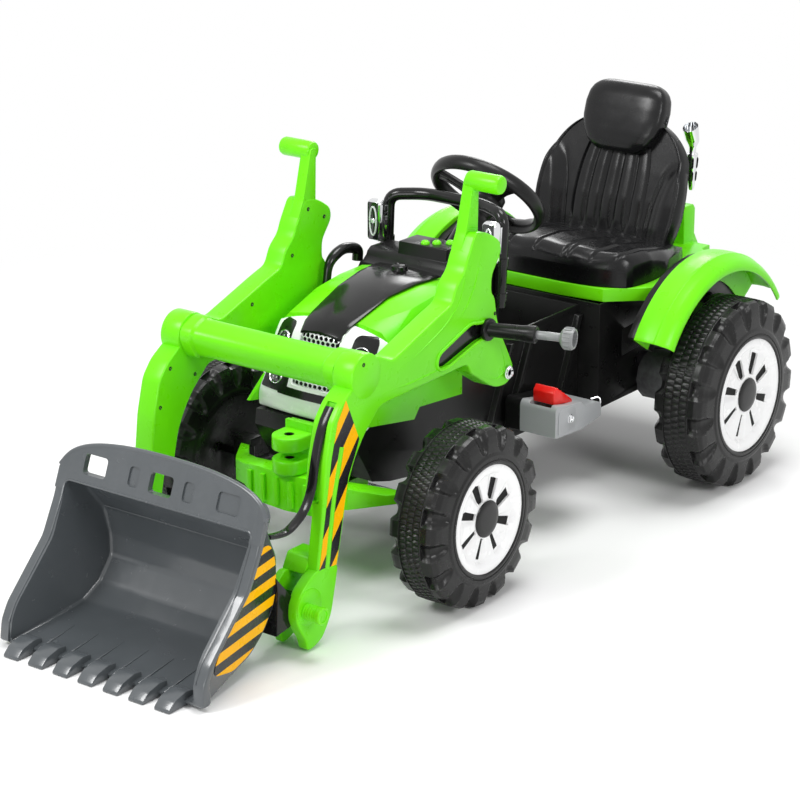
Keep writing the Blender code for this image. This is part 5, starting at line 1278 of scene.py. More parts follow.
@dataclass
class Nose:
    """The bonnet, the white cowl, the grille and the lamps."""

    half: float = 0.1
    upper: tuple = (0.0721, 0.345, 0.015)
    lower: tuple = (0.0725, 0.297, 0.0163)

    def outline(self, x: float) -> list[Pair]:
        """The cowl's side outline at one distance from the middle."""
        bow = (x / self.half) ** 2
        drop = 0.0185 * bow
        return [(-0.1273, 0.3855 - drop), (-0.147 + 0.013 * bow, 0.38 - drop),
                (-0.164 + 0.019 * bow, 0.364 - drop), (-0.188 + 0.018 * bow, 0.289),
                (-0.197 + 0.012 * bow, 0.269), (-0.197 + 0.012 * bow, 0.2465), (-0.18, 0.244),
                (-0.1273, 0.278)]

    def face(self, x: float, z: float) -> float:
        """The y of the cowl's face at this x and height."""
        outline = self.outline(x)
        for (ya, za), (yb, zb) in zip(outline[1:6], outline[2:6]):
            if zb <= z <= za:
                return ya + (yb - ya) * (za - z) / (za - zb)
        return outline[2][0]

    def seated(self, form: Form, x: float, z: float) -> Form:
        """Moves a form that faces -Y at the origin onto the cowl's face, square to it."""
        reach = 0.003
        across = (self.face(x + reach, z) - self.face(x - reach, z)) / (2 * reach)
        rise = (self.face(x, z + reach) - self.face(x, z - reach)) / (2 * reach)
        turn = Vector((0, -1, 0)).rotation_difference(Vector((across, -1, rise))).to_matrix()
        seat = Vector((x, self.face(x, z), z))
        return form.bend(lambda point: seat + turn @ point)

    def skin(self) -> Form:
        """The plain cowl, from edge to edge."""
        sections = [-self.half + 2 * self.half * i / 32 for i in range(33)]
        cowl = Form().loft([[(x, y, z) for y, z in eased(self.outline(abs(x)), 0.01, 4)] for x in sections])
        return cowl.soften(0.004, 3, 60)

    def patch(self, ring: Sequence[Pair], proud: float) -> Form:
        """A piece of the cowl's skin between these (x, z) corners, standing this proud of it."""
        cutter = Form().slab(ring, -0.23, -0.1285)
        return cutter.carve(self.skin().shift((0, -proud, 0)), "INTERSECT")

    def lamp(self, kind: str, side: Side) -> None:
        """Makes one lamp: its chrome ring, its dark lens and its dots."""
        x, z, r = self.upper if kind == "upper" else self.lower
        ring = [(-0.0137, r - 0.0012), (-0.0137, r - 0.0003), (0.0005, r - 0.0003), (0.0017, r - 0.0009),
                (0.0021, r - 0.0017), (0.0012, r - 0.0025), (-0.002, r - 0.003)]
        dome = [(-0.005, 0), (-0.005, r - 0.0027), (-0.0015, r - 0.0028), (0.0, (r - 0.0028) * 0.85),
                (0.0012, (r - 0.0028) * 0.5), (0.0016, 0)]
        dots = Form()
        spread = (r - 0.0044) * 0.55
        for turn in range(0, 360, 72):
            t = math.radians(turn + 18)
            dots.revolve([(-0.001, 0.0014), (0.0006, 0.0014), (0.0009, 0.0008), (0.001, 0)],
                         (spread * math.cos(t), -0.0008, spread * math.sin(t)), AHEAD, 10)
        dots.revolve([(-0.001, 0.0022), (0.001, 0.0022), (0.0015, 0.0012), (0.0016, 0)],
                     (0, -0.0008, 0), AHEAD, 14)
        node = f"{kind}_lamp_{side.word}"
        for label, form, finish, replaces in (
                ("ring", Form().revolve(ring, ORIGIN, AHEAD, 40, closed=True), CHROME, [node]),
                ("lens", Form().revolve(dome, ORIGIN, AHEAD, 36), LENS, []), ("dots", dots, GLINT, [])):
            place(f"{node}_{label}", self.seated(form, x, z).mirrored(side), finish, replaces=replaces)

    def housings(self, side: Side) -> Form:
        """The black surround behind both lamps of one side, with its notched top."""
        ring = [(0.044, 0.276), (0.044, 0.31), (0.048, 0.33), (0.056, 0.348), (0.0555, 0.369), (0.06, 0.3725),
                (0.084, 0.3715), (0.0905, 0.364), (0.093, 0.33), (0.096, 0.315), (0.0975, 0.276)]
        plate = self.patch(eased(ring, 0.004, 3), 0.0009)
        holes = Form()
        for x, z, r in (self.upper, self.lower):
            holes.add(self.seated(Form().rod((0, -0.03, 0), (0, 0.03, 0), r), x, z))
        return plate.carve(holes).mirrored(side)

    def grille(self) -> tuple[Form, Form]:
        """The grille's plated honeycomb and the near-black plate of painted shade behind it."""
        low, high, half = 0.2903, 0.3735, 0.0357
        wide, tall, columns = 0.005, 0.0041, 9
        cells = Form()
        for row in range(int((high - low - 0.006) / (tall * 1.5)) + 1):
            z = low + 0.0045 + row * tall * 1.5
            for column in range(columns):
                x = (column - columns // 2 + 0.5 * (row % 2)) * wide * math.sqrt(3)
                if abs(x) > half - 0.003:
                    continue
                rings = []
                for share, off in ((1.0, 0.0004), (0.99, -0.001), (0.8, -0.001), (0.78, 0.0004)):
                    ring = [(x + wide * share * math.sin(t), z + tall * share * math.cos(t))
                            for t in full_turn(6)]
                    rings.append([(u, self.face(abs(u), v) + off, v) for u, v in ring])
                cells.loft(rings, caps=False)
        ring = window(0, half, low, high)
        # A near-black plate behind the cells: painted shade of the hollow behind the grille.
        back = Form().loft([[(x, self.face(abs(x), z) + off, z) for x, z in ring] for off in (0.006, 0.0024)])
        cells.sweep([(x, self.face(abs(x), z), z) for x, z in ring], 0.0013, 8, closed=True)
        return cells, back

    def build(self) -> None:
        """Makes the cowl, its bands, the grille, the lamps and the bonnet."""
        cowl = self.skin()
        ring = window(0, 0.036, 0.29, 0.374)
        cutter = Form().slab(ring, -0.23, -0.143)
        for side in Side:
            for x, z, r in (self.upper, self.lower):
                hole = Form().rod((0, -0.03, 0), (0, 0.014, 0), r, steps=36)
                cutter.add(self.seated(hole, x, z).mirrored(side))
        cowl.carve(cutter)
        stand_in("nose_cowl", cowl, WHITE, crease=40)
        surround = [(x * 1.04, self.face(abs(x), z) - 0.0002, 0.332 + (z - 0.332) * 1.02) for x, z in ring]
        place("grille_surround", Form().sweep(surround, 0.0019, 10, closed=True), WHITE)
        mesh, back = self.grille()
        stand_in("grille", mesh, MESH_GREY)
        place("grille_back_shade", back, PAINTED_SHADOW)
        for side in Side:
            place(side.name_of("lamp_housing"), self.housings(side), GLOSS)
            for kind in ("upper", "lower"):
                self.lamp(kind, side)
        band = window(0, 0.06, 0.274, 0.285, 0.002, 3)
        place("nose_band", self.patch(band, 0.0008), GLOSS)
        recast("hood_shell", GREEN, width=0.0012)
        panel = Form.of_node("hood_centre_panel").soften(0.001, 3)
        cap = [(0, 0), (0.0, 0.0128), (0.0012, 0.0132), (0.0024, 0.0128), (0.0024, 0)]
        panel.revolve(cap, (0, 0.03, 0.42), UPWARD, 32)
        stand_in("hood_centre_panel", panel, GLOSS)


@dataclass
class Cockpit:
    """The dashboard, hoop, lamps, steering wheel, levers, steps and pedal."""

    hub: tuple = (0.0, 0.258, 0.489)
    rake: float = math.radians(44.4)
    radius: float = 0.0885
    rim: float = 0.0092
    post_foot: tuple = (0.108, 0.138, 0.356)
    post_top: tuple = (0.108, 0.146, 0.497)
    bulb: tuple = (0.1088, 0.1062, 0.4621)

    @property
    def down(self) -> Vector:
        """The column's direction, from the steering wheel down to the crank."""
        return Vector((0, -math.cos(self.rake), -math.sin(self.rake)))

    def steering(self) -> Form:
        """The rim, spokes, hub, shaft and crank."""
        hub, down = Vector(self.hub), self.down
        circle = [(self.rim * math.cos(t) * 1.35, self.radius + self.rim * math.sin(t) * 0.85)
                  for t in full_turn(14)]
        form = Form().revolve(circle, hub, down, 72, closed=True)
        boss = [(-0.002, 0.0245), (-0.002, 0.0285), (0.0, 0.03), (0.014, 0.03), (0.018, 0.0285),
                (0.04, 0.016), (0.04, 0), (0.0045, 0), (0.0045, 0.0245)]
        form.revolve(boss, hub, down, 40)
        up_rim = UP_X.cross(down).normalized()
        up_rim = -up_rim if up_rim.z > 0 else up_rim
        for turn in (90, 210, 330):
            out = UP_X * math.cos(math.radians(turn)) + up_rim * math.sin(math.radians(turn))
            wide = out.cross(down).normalized()
            rings = []
            for step in range(7):
                t = step / 6
                at = hub + out * (0.024 + (self.radius - 0.026) * t) + down * (0.009 * (1 - t) ** 2)
                reach = 0.0125 - 0.004 * math.sin(math.pi * t)
                section = ((1, 0.4), (0.8, 1), (0.2, 0.7), (0, 0.9), (-0.2, 0.7), (-0.8, 1), (-1, 0.4),
                           (-1, -0.4), (-0.8, -1), (-0.3, -0.6), (0.3, -0.6), (0.8, -1), (1, -0.4))
                rings.append([at + wide * reach * a + down * 0.0048 * b for a, b in section])
            form.loft(rings)
        back = Vector((0, -down.z, down.y)).normalized()
        back = -back if back.z > 0 else back
        top = hub + down * 0.446
        crank = top + back * 0.024
        form.rod(hub + down * 0.03, top + down * 0.003, 0.006, 0.001)
        form.rod(top - back * 0.004, crank + back * 0.004, 0.0051, 0.001)
        form.rod(crank - down * 0.003, crank + down * 0.054, 0.0045, 0.001)
        return form

    def hoop_lamp(self, side: Side) -> None:
        """Makes the square chrome lamp in front of one hoop post, with its dark lens and bars."""
        low, high = (0.095, 0.104, 0.4287), (0.1225, 0.124, 0.4955)
        shell = Form().box(low, high, 0.0085, 5)
        shell.join(Form().box((0.103, 0.122, 0.44), (0.113, 0.142, 0.482), 0.001, 2))
        shell.carve(Form().box((0.0985, 0.1, 0.4325), (0.119, 0.1095, 0.4917), 0.003, 3))
        shell.carve(Form().sweep([self.post_foot, self.post_top], 0.008, 12))
        stand_in(side.name_of("hoop_lamp"), shell.mirrored(side), CHROME)
        lens = Form().box((0.0987, 0.1068, 0.4327), (0.1188, 0.11, 0.4915), 0.001, 2)
        place(side.name_of("hoop_lamp_lens"), lens.mirrored(side), LENS)
        x, y, z = self.bulb
        oval = [(x + 0.0062 * math.cos(t), y, z + 0.0225 * math.sin(t)) for t in full_turn(28)]
        bulbs = Form().sweep(oval, 0.0015, 8, closed=True)
        bulbs.revolve([(-0.001, 0.0038), (0.0012, 0.004), (0.0018, 0.003), (0.001, 0)],
                      (x, y + 0.0004, z), AHEAD, 20)
        place(side.name_of("hoop_lamp_bulbs"), bulbs.mirrored(side), GLINT)

    def tilt_lever(self) -> None:
        """Makes the left arm's hand lever: black disc and grip, grey rod and knurled cup."""
        y, z = 0.008, 0.366
        start = Vector((0.1763, y, z))
        along = (Vector((0.323, y + 0.0425, z)) - start).normalized()
        black = Form().rod(start, (0.184, y, z), 0.017, 0.002, 32)
        black.rod((0.1696, y, z), (0.18, y, z), 0.007, 0.0005)
        profile = [(0.0, 0), (0.0, 0.0112), (0.006, 0.0108), (0.05, 0.0116), (0.06, 0.0128), (0.064, 0.0132),
                   (0.072, 0.0132), (0.0736, 0.0118), (0.0738, 0.0085), (0.0725, 0.008), (0.0725, 0)]
        black.revolve(profile, start + along * 0.004, along, 28)
        place("tilt_lever_grip", black, BLACK, "tilt_lever_body", ["tilt_lever"])
        rod = Form().rod(start + along * 0.07, start + along * 0.122, 0.0064, 0.0005)
        cup_at, r = start + along * 0.115, 0.0158
        cup = [(0, 0), (0, 0.01), (0.002, 0.0128), (0.005, r), (0.018, r), (0.0203, r - 0.001),
               (0.0207, r - 0.0025), (0.0202, 0.012), (0.008, 0.0114), (0.008, 0)]
        rod.revolve(cup, cup_at, along, 36)
        rise = Vector(UPWARD)
        across = along.cross(rise).normalized()
        for t in full_turn(16):
            out = across * math.cos(t) + rise * math.sin(t)
            rod.sweep([cup_at + along * 0.006 + out * r, cup_at + along * 0.0175 + out * r], 0.0013, 6)
        place("tilt_lever_rod", rod, LEVER_GREY, "tilt_lever_body")

    def steps(self, side: Side) -> None:
        """Makes the grey step on one side with its bolt and hook."""
        node = side.name_of("foot_rest")
        step = Form.of_node(node)

        def shorten(point: Vector) -> Vector:
            """Draws the step in towards its front end."""
            return Vector((point.x, 0.16 + (point.y - 0.16) * 0.72, point.z))

        step.bend(shorten).soften(0.0022, 3)
        join_x = side.value * 0.134
        step.split((join_x, 0, 0), UP_X)
        for face in step.bm.faces:
            face.material_index = int(abs(face.calc_center_median().x) < abs(join_x))
        stand_in(node, step, [STEP_GREY, BLACK])
        pad = Form().plate(eased([(0.166, 0.157), (0.168, 0.199), (0.216, 0.1965), (0.216, 0.16)], 0.009, 4),
                           0.1985, 0.2014, 0.0009, 2)
        place(side.name_of("foot_rest_pad"), pad.mirrored(side), STEP_GREY)
        bolt = [(0, 0), (0, 0.0068), (0.0016, 0.007), (0.002, 0.0062), (0.0045, 0.0058), (0.0055, 0.0046),
                (0.005, 0.003), (0.0036, 0.0028), (0.0036, 0)]
        fittings = Form().revolve(bolt, (0.201, 0.197, 0.179), steps=24)
        hook = [(0.186, 0.279, 0.185), (0.1935, 0.289, 0.188), (0.1975, 0.2895, 0.183),
                (0.1975, 0.2865, 0.173)]
        fittings.sweep(eased(hook, 0.004, 4, closed=False), 0.0016, 10)
        place(side.name_of("foot_rest_bolt"), fittings.mirrored(side), CHROME)

    def build(self) -> None:
        """Makes all of the driver's controls."""
        stand_in("steering_wheel", self.steering(), BLACK, "steering")
        pad = [(-0.0005, 0), (-0.0005, 0.0232), (0.0045, 0.0235), (0.0075, 0.022), (0.009, 0.019),
               (0.0095, 0.012), (0.0093, 0)]
        stand_in("horn_pad", Form().revolve(pad, self.hub, -self.down, 36), RED, "horn")
        recast("steering_column", BLACK)
        recast("dashboard", BLACK, width=0.0015, segments=3)
        dome = [(-0.0083, 0), (-0.0083, 0.0069), (0.001, 0.007), (0.003, 0.0062), (0.0048, 0.0042),
                (0.0055, 0.0018), (0.0056, 0)]
        for number, (x, y) in enumerate(((-0.004, 0.1), (0.01, 0.1106), (0.0265, 0.123)), 1):
            button = Form().revolve(dome, (x, y, 0.445), UPWARD, 28)
            stand_in(f"dash_button_{number}", button, GREEN, f"button_{number}")
        half = [(0.055, 0.168, 0.501), self.post_top, self.post_foot]
        path = [(-x, y, z) for x, y, z in reversed(half)] + half
        hoop = Form().sweep(eased(path, 0.02, 7, closed=False), 0.0096, 20)
        ring = [(-0.006, 0.0092), (-0.006, 0.0113), (0.006, 0.0113), (0.006, 0.0092)]
        slant = 0.0567
        x, y, foot = self.post_foot
        for z in (0.372, 0.426):
            for side in Side:
                at = (side.value * x, y + (z - foot) * slant, z)
                hoop.revolve(ring, at, (0, slant, 1), 20, closed=True)
        stand_in("dash_hoop", hoop, GLOSS)
        for side in Side:
            self.hoop_lamp(side)
            self.steps(side)
        bend = [(-0.1225, 0.004, 0.364), (-0.1225, 0.013, 0.416), (-0.1225, 0.046, 0.43),
                (-0.1225, 0.086, 0.4215), (-0.1225, 0.084, 0.402)]
        path = eased(bend, 0.016, 6, closed=False)
        radii = [0.0064 + 0.0022 * ramp(0, 8, i) for i in range(len(path))]
        lever = Form().sweep(path, radii, 18)
        lever.rod((-0.13, 0.004, 0.364), (-0.106, 0.004, 0.364), 0.0104, 0.001)
        stand_in("gear_lever", lever, GLOSS, "gear_lever_body")

        def heighten(point: Vector) -> Vector:
            """Raises the pedal's tread."""
            return Vector((point.x, point.y + 0.006, point.z + max(0.0, point.z - 0.203) * 0.42))

        pedal = Form.of_node("drive_pedal").bend(heighten).soften(0.0018, 3)
        for number in range(4):
            y, z = 0.186 + number * 0.009, 0.2266 - number * 0.0062
            pedal.box((0.1525, y - 0.0016, z - 0.002), (0.1855, y + 0.0016, z + 0.0012), 0.0007, 2)
        stand_in("drive_pedal", pedal, RED, "pedal")
        self.tilt_lever()


@dataclass
class Seat:
    """The seat pan, back and headrest, the green deck, the fenders and the exhaust."""

    foot: tuple = (0.0, 0.606, 0.3505)
    lean: float = math.radians(18.8)
    columns: int = 144
    deck_top: float = 0.3283
    stack: Pair = (0.095, 0.714)

    @property
    def up(self) -> Vector:
        """The back's upward direction."""
        return Vector((0, math.sin(self.lean), math.cos(self.lean)))

    @property
    def forward(self) -> Vector:
        """The direction that the back faces."""
        return Vector((0, -math.cos(self.lean), math.sin(self.lean)))

    def at(self, height: float, across: float, ahead: float) -> Vector:
        """The point at this height up the leaning back, this x, and this far in front of it."""
        return Vector(self.foot) + self.up * height + UP_X * across + self.forward * ahead

    def back(self) -> Form:
        """The tall back: a lip, two bolsters outside curved seams, and upright flutes."""
        depths = ((-0.04, 0.012), (0.0, 0.014), (0.02, 0.017), (0.06, 0.019), (0.11, 0.017), (0.15, 0.014),
                  (0.175, 0.012), (0.192, 0.009), (0.2, 0.006))
        rings = []
        rows = 48
        for row in range(rows + 1):
            height = -0.04 + 0.24 * row / rows
            rise = max(0.0, height - 0.06) / 0.1425
            half = (0.126 + 0.015 * ramp(-0.045, 0.05, height)) * (1 - rise**2.4) ** (1 / 2.4)
            depth = between(depths, height)
            ring = []
            for i in range(self.columns + 1):
                u = -1 + 2 * i / self.columns
                off = abs(u)
                bow = min(1.0, abs(height - 0.03) / 0.105)
                seam = 0.95 - 0.36 * math.sqrt(1 - bow * bow)
                bolster = 0.0105 * ramp(seam, seam + 0.2, off) * (1 - ramp(0.1, 0.15, height))
                stitch = 0.0026 * math.exp(-((off - seam) / 0.02) ** 2) * (1 - ramp(0.1, 0.135, height))
                lip = 0.003 * ramp(0.915, 0.935, off) * (1 - ramp(0.985, 1.0, off))
                edge = -(depth + 0.004) * ramp(0.955, 1.0, off) ** 2 * 0.9
                flute = 0.0
                if off < 0.5:
                    wave = abs(math.sin(math.pi * (u + 0.5) / 0.2))
                    flute = -0.0048 * (1 - wave) ** 1.6 * ramp(-0.005, 0.03, height)
                swell = 0.0035 * (1 - ramp(0.0, 0.5, off)) * ramp(0.0, 0.05, height)
                front = depth + bolster - stitch + lip + edge + flute + swell
                ring.append(self.at(height, u * half, front))
            for k in range(1, 24):
                u = 1 - 2 * k / 24
                ring.append(self.at(height, u * half * 0.995, -0.003 - 0.009 * (1 - abs(u) ** 4)))
            rings.append(ring)
        form = Form().loft(rings)
        cut = Form().box((-0.2, 0.5, 0.2), (0.2, 0.72, self.deck_top), 0.0)
        return form.carve(cut)

    def headrest(self) -> Form:
        """The pillow-shaped headrest, flatter in front and creased on its sides."""
        rows = ((0.136, 0.04, 0.01, 0.02), (0.141, 0.05, 0.015, 0.019), (0.15, 0.062, 0.0195, 0.018),
                (0.168, 0.0735, 0.0225, 0.0165), (0.187, 0.0795, 0.024, 0.015), (0.212, 0.0805, 0.024, 0.014),
                (0.23, 0.0775, 0.0232, 0.013), (0.241, 0.0715, 0.0205, 0.012), (0.248, 0.063, 0.0165, 0.011),
                (0.2525, 0.052, 0.011, 0.01), (0.254, 0.04, 0.006, 0.01))
        rings = []
        for row in range(33):
            t = row / 32
            height = 0.136 + 0.118 * (3 * t * t - 2 * t**3)
            half, deep, lead = (between([(r[0], r[k]) for r in rows], height) for k in (1, 2, 3))
            half *= 0.95
            ring = []
            for a in full_turn(48):
                squared = 1 / (abs(math.cos(a)) ** 4.2 + abs(math.sin(a)) ** 4.2) ** (1 / 4.2)
                wide, flat = math.cos(a) * squared, math.sin(a) * squared
                crease = 0.0022 * math.exp(-((abs(wide) - 0.8) / 0.05) ** 2) * max(flat, 0.0)
                ring.append(self.at(height, wide * half, lead + flat * deep - crease))
            rings.append(ring)
        return Form().loft(rings)

    def pan(self) -> Form:
        """The seat pan: a plain band, a rolled front, channels that run back, and side bolsters."""
        tops = ((0.385, 0.379), (0.42, 0.38), (0.465, 0.379), (0.525, 0.368), (0.575, 0.356), (0.6, 0.353))
        halves = ((0.385, 0.16), (0.4, 0.1655), (0.43, 0.17), (0.465, 0.172), (0.525, 0.17), (0.575, 0.16),
                  (0.6, 0.15))
        channels = ((0.0, 1.0), (0.325, 1.0), (0.4, 1.0), (0.64, 1.0), (0.88, 0.6))
        low, band, roll, side_roll, length, lead = self.deck_top, 0.352, 0.026, 0.024, 0.215, 0.385
        rolled = [roll * (1 - math.cos(math.radians(a))) for a in range(0, 91, 6)]
        stations = [(0.0, low), (0.0, band)] + [(max(back, 0.0004), 1.0) for back in rolled]
        stations += [(roll + (length - roll) * i / 24, 1.0) for i in range(1, 25)] + [(length, low)]
        columns = 2 * self.columns
        shares = [-1 + 2 * i / columns for i in range(columns + 1)]
        rings = []
        for back, limit in stations:
            y = lead + back + (0.0022 if limit < 1 else 0.0)
            half, ring = between(halves, y), []
            for u in shares:
                off = abs(u)
                top = between(tops, y) + 0.005 * (1 - u * u)
                edge = max(0.0, off * half - (half - side_roll))
                top -= side_roll - math.sqrt(side_roll**2 - edge**2)
                front = max(0.0, roll - back) / roll
                height = band + (top - band) * math.sqrt(1 - front**2)
                groove = sum(w * math.exp(-((off - at) / 0.016) ** 2) for at, w in channels)
                puff = 0.0014 * math.cos(math.pi * off * 4.4) * (1 - ramp(0.8, 0.9, off))
                deep = (0.0048 * groove - puff) * ramp(0.001, 0.014, back) * (1 - ramp(0.13, 0.2, back))
                bow = 0.03 * max(0.0, 1 - back / 0.1) * off**4
                ring.append((u * half, y + bow, min(limit, max(height - deep, band))))
            rings.append(ring + [(point[0], point[1], low) for point in reversed(ring)])
        form = Form().loft(rings, caps=False)
        bmesh.ops.remove_doubles(form.bm, verts=form.bm.verts, dist=1e-6)
        bmesh.ops.recalc_face_normals(form.bm, faces=form.bm.faces)
        return form

    def fender(self, side: Side) -> Form:
        """The arched mudguard with a turned-down edge and a raised line round its outer side."""
        centre_y, centre_z, radius = 0.525, 0.1534, 0.22
        section = [(0.0, -0.048), (0.0, -0.0015), (0.02, 0.0), (0.2, 0.001), (0.4, 0.001), (0.55, -0.0004),
                   (0.6, -0.0002), (0.625, 0.0004), (0.65, -0.0012), (0.8, -0.005), (0.9, -0.0095),
                   (0.965, -0.0138), (1.0, -0.018), (1.0, -0.025)]
        wall = 0.0035
        inset = [(1, 0), (1, -0.8), (0.8, -1)] + [(0, -1)] * 6
        inset += [(-0.15, -1), (-0.3, -1), (-0.7, -0.8), (-1, -0.5), (-1, 0)]
        rings = []
        steps = 64
        for step in range(steps + 1):
            t = math.radians(147 - 112 * step / steps)
            outer = [(0.222 + 0.063 * u, radius + r) for u, r in section]
            inner = [(x + a * wall, r + b * wall) for (x, r), (a, b) in zip(outer, inset)]
            rings.append([(x, centre_y + r * math.cos(t), centre_z + r * math.sin(t))
                          for x, r in outer + list(reversed(inner))])
        return Form().loft(rings).soften(0.0008, 2, 50).mirrored(side)

    def exhaust(self) -> Form:
        """The chrome stack: tapered silencer, neck, and a mouth cut on the slant."""
        x, y = self.stack
        outer = [(0.417, 0), (0.417, 0.0035), (0.42, 0.005), (0.43, 0.0064), (0.476, 0.0098), (0.478, 0.01),
                 (0.48, 0.0094), (0.4805, 0.0062), (0.49, 0.0062), (0.494, 0.008), (0.499, 0.0108),
                 (0.504, 0.0122), (0.515, 0.013), (0.5262, 0.0135), (0.5266, 0.013), (0.5262, 0.0124),
                 (0.508, 0.0112), (0.502, 0.009), (0.5, 0)]
        form = Form().revolve(outer, (x, y, 0), UPWARD, 40)

        def kink(point: Vector) -> Vector:
            """Leans the pipe forward and cuts its mouth on the slant."""
            lean = 0.3 * max(0.0, point.z - 0.496)
            slant = 0.45 * (point.y - y) * ramp(0.506, 0.526, point.z)
            return Vector((point.x, point.y - lean, point.z + slant))

        form.bend(kink)
        stay = eased([(x, y, 0.45), (0.064, 0.706, 0.45), (0.062, 0.706, 0.445),
                      (0.062, 0.706, 0.3928)], 0.006, 4, closed=False)
        return form.sweep(stay, 0.0045, 14)

    def build(self) -> None:
        """Makes the seat and what stands round it."""
        stand_in("seat_back", self.back(), SEAT_BLACK, crease=55)
        stand_in("headrest", self.headrest(), SEAT_BLACK, crease=60)
        stand_in("seat_cushion", self.pan(), SEAT_BLACK, crease=55)
        recast("seat_base", GREEN, width=0.0014, segments=3)
        for side in Side:
            stand_in(side.name_of("fender"), self.fender(side), GREEN)
        stand_in("exhaust_stack", self.exhaust(), CHROME)
        # Near-black bars on the silencer's vent slots: painted shade inside the slots.
        slots = Form()
        for turn in range(0, 360, 60):
            t = math.radians(turn + 10)
            for low, high, r in ((0.433, 0.45, 0.007), (0.455, 0.474, 0.0087)):
                path = [(self.stack[0] + (r + d) * math.cos(t), self.stack[1] + (r + d) * math.sin(t), z)
                        for z, d in ((low, 0.0), (low + 0.003, 0.0002), (high - 0.003, 0.0009),
                                     (high, 0.001))]
                slots.sweep(path, [0.0004, 0.0014, 0.0018, 0.0005], 8)
        place("exhaust_slot_shade", slots, PAINTED_SHADOW)


@dataclass
class Chassis:
    """The front axle beam with its hitch, and the tub, gear cases, axle and steering links."""

    hitch_y: float = -0.236
    lug_radius: float = 0.0258
    lugs: tuple = ((0.178, 0.199), (0.213, 0.235))

    def build(self) -> None:
        """Dresses the running gear and the tub."""
        beam = Form.of_node("front_axle_beam")
        for x in (-0.085, -0.05, 0.05, 0.085):
            beam.split((x, 0, 0), UP_X)

        def thin(point: Vector) -> Vector:
            """Draws the beam's two ends in from below and above."""
            share = ramp(0.048, 0.086, abs(point.x)) if point.z < 0.179 else 0.0
            return Vector((point.x, point.y, point.z + (0.1375 - point.z + (point.z - 0.12) * 0.6) * share))

        beam.bend(thin)
        beam.carve(Form().box((-0.04, -0.275, 0.179), (0.04, -0.213, 0.26), 0.0))
        for low, high in self.lugs:
            rings = []
            for z, inset in ((low, 0.0022), (low + 0.0008, 0.0008), (low + 0.0024, 0.0), (high - 0.0024, 0.0),
                             (high - 0.0008, 0.0008), (high, 0.0022)):
                r = self.lug_radius - inset
                turn = [(r * math.cos(math.radians(a)), self.hitch_y - r * math.sin(math.radians(a)), z)
                        for a in range(0, 181, 9)]
                rings.append(turn + [(-r, -0.21, z), (r, -0.21, z)])
            beam.join(Form().loft(rings))
        beam.carve(Form().rod((0, self.hitch_y, 0.17), (0, self.hitch_y, 0.27), 0.0076, steps=28))
        stand_in("front_axle_beam", beam.soften(0.001, 2), GREEN)
        # Near-black linings in the hitch's pin hole: painted shade of the hole's inside.
        sockets = Form()
        for low, high in self.lugs:
            start, end = low + 0.001, high - 0.001
            ring = [(start, 0.0062), (start, 0.0079), (end, 0.0079), (end, 0.0062)]
            sockets.revolve(ring, (0, self.hitch_y, 0), UPWARD, 28, closed=True)
        place("hitch_socket_shade", sockets, PAINTED_SHADOW)
        for node, finish in (("chassis_tub", BLACK), ("rear_body", BLACK), ("battery", CASE_GREY)):
            recast(node, finish, width=0.001)
        for side in Side:
            recast(side.name_of("gearmotor"), CASE_GREY, width=0.001)
            recast(side.name_of("knuckle"), BLACK, side.name_of("knuckle") + "_body", 0.0006)
        recast("tie_rod", STEEL, "tie_rod_body", 0.0006)
        dress("rear_axle", STEEL)


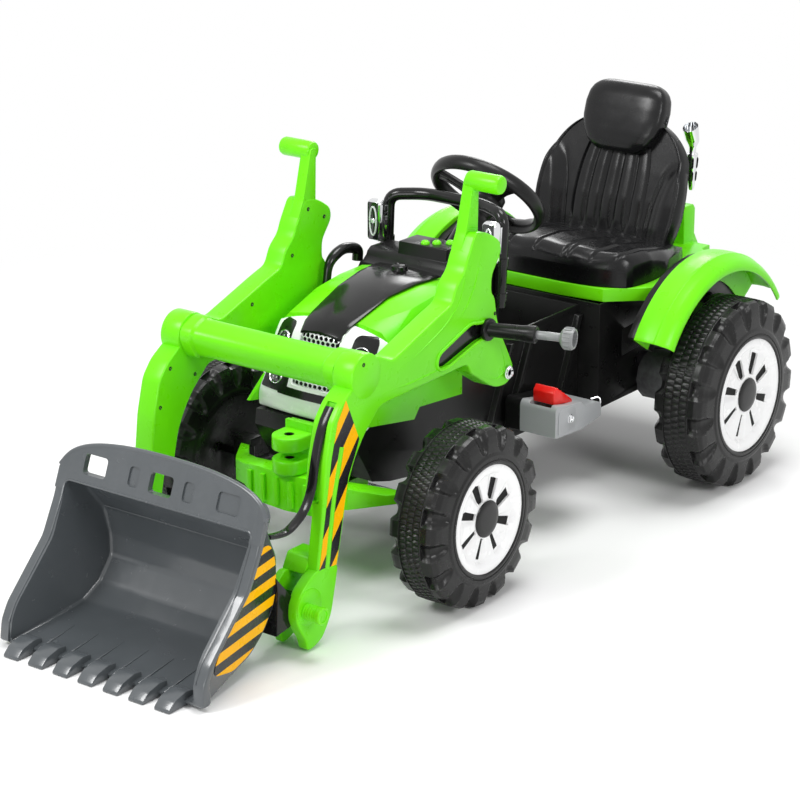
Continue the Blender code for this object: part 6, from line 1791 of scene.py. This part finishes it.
@dataclass
class Studio:
    """A pale floor, the camera, and soft lamps, each a name, a place, a size in metres and watts."""

    camera_at: tuple = (2.3559, -3.1195, 1.5639)
    camera_turn: tuple = (70.95, 0.0, 37.03)
    lens: float = 121.86
    sensor: float = 36.0
    aim: tuple = (0.0, -0.05, 0.2)
    floor_half: float = 14.0
    floor_drop: float = 0.0004
    floor_level: float = 0.94
    floor_fade: Pair = (0.75, 1.7)
    world_light: float = 0.36
    lamps: tuple = (
        ("key", (-1.2, -2.6, 3.0), 1.3, 70.0), ("top", (0.3, 0.5, 3.4), 1.7, 66.0),
        ("front", (0.5, -3.7, 0.9), 1.3, 22.0), ("fill", (3.0, -1.0, 2.0), 1.1, 36.0),
        ("rim", (-1.4, 2.8, 2.2), 1.2, 26.0))

    @staticmethod
    def seen_white(tree: bpy.types.NodeTree) -> bpy.types.NodeSocket:
        """Whether a ray comes from the camera, through a window or off a shiny face, as a socket."""
        rays = tree.nodes.new("ShaderNodeLightPath").outputs
        through = math_node(tree, "MAXIMUM", rays["Is Camera Ray"], rays["Is Transmission Ray"])
        return math_node(tree, "MAXIMUM", through, rays["Is Glossy Ray"])

    def floor(self) -> None:
        """Makes the floor: matt and pale near the tractor, plain white further out."""
        bm = bmesh.new()
        bmesh.ops.create_grid(bm, x_segments=2, y_segments=2, size=self.floor_half)
        bmesh.ops.translate(bm, verts=bm.verts, vec=(0, 0, -self.floor_drop))
        mesh = bpy.data.meshes.new("studio_floor")
        bm.to_mesh(mesh)
        bm.free()
        material = bpy.data.materials.new("studio_floor_paint")
        material.use_nodes = True
        tree = material.node_tree
        tree.nodes.remove(tree.nodes["Principled BSDF"])
        away = tree.nodes.new("ShaderNodeVectorMath")
        away.operation = "LENGTH"
        feed(tree, away.inputs[0], object_place(tree))
        far = span_node(tree, away.outputs["Value"], *self.floor_fade)
        share = math_node(tree, "MULTIPLY", far, self.seen_white(tree))
        paint = tree.nodes.new("ShaderNodeBsdfDiffuse")
        paint.inputs["Color"].default_value = (*grey(self.floor_level), 1)
        white = tree.nodes.new("ShaderNodeEmission")
        mix = tree.nodes.new("ShaderNodeMixShader")
        for slot, socket in zip(mix.inputs, (share, paint.outputs[0], white.outputs[0])):
            feed(tree, slot, socket)
        feed(tree, tree.nodes["Material Output"].inputs["Surface"], mix.outputs[0])
        mesh.materials.append(material)
        floor = bpy.data.objects.new("studio_floor", mesh)
        bpy.context.scene.collection.objects.link(floor)

    def world(self) -> None:
        """Makes the surrounding light, seen as plain white."""
        world = bpy.data.worlds.new("studio")
        bpy.context.scene.world = world
        world.use_nodes = True
        tree = world.node_tree
        back = tree.nodes["Background"]
        back.inputs["Color"].default_value = (1, 1, 1, 1)
        level = span_node(tree, self.seen_white(tree), 0.0, 1.0, self.world_light)
        feed(tree, back.inputs["Strength"], level)

    def build(self) -> None:
        """Makes the floor, world, lamps and camera."""
        self.floor()
        self.world()
        for name, at, size, power in self.lamps:
            light = bpy.data.lights.new(f"{name}_softbox", "AREA")
            light.shape, light.size, light.energy = "DISK", size, power
            lamp = bpy.data.objects.new(f"{name}_softbox", light)
            lamp.location = at
            lamp.rotation_euler = (Vector(self.aim) - Vector(at)).to_track_quat("-Z", "Y").to_euler()
            bpy.context.scene.collection.objects.link(lamp)
        camera = bpy.data.objects.new("camera", bpy.data.cameras.new("camera"))
        camera.location = self.camera_at
        camera.rotation_euler = [math.radians(turn) for turn in self.camera_turn]
        camera.data.lens, camera.data.sensor_width = self.lens, self.sensor
        bpy.context.scene.collection.objects.link(camera)
        bpy.context.scene.camera = camera
        bpy.context.scene.view_settings.view_transform = "Standard"


def main() -> None:
    """Builds the studio and every sub-assembly in order."""
    logging.basicConfig(level=logging.INFO, format="%(message)s")
    Studio().build()
    RoadWheel(End.FRONT, axle_y=-0.131, axle_z=0.1352, radius=0.1352, rim_radius=0.0813, inner_x=0.193,
              outer_x=0.2845).build()
    RoadWheel(End.REAR, axle_y=0.525, axle_z=0.1534, radius=0.1534, rim_radius=0.0924, inner_x=0.233,
              outer_x=0.3315).build()
    for part in (Chassis(), Nose(), Cockpit(), Seat(), LoaderArms(), Bucket()):
        part.build()


if __name__ == "__main__":
    main()
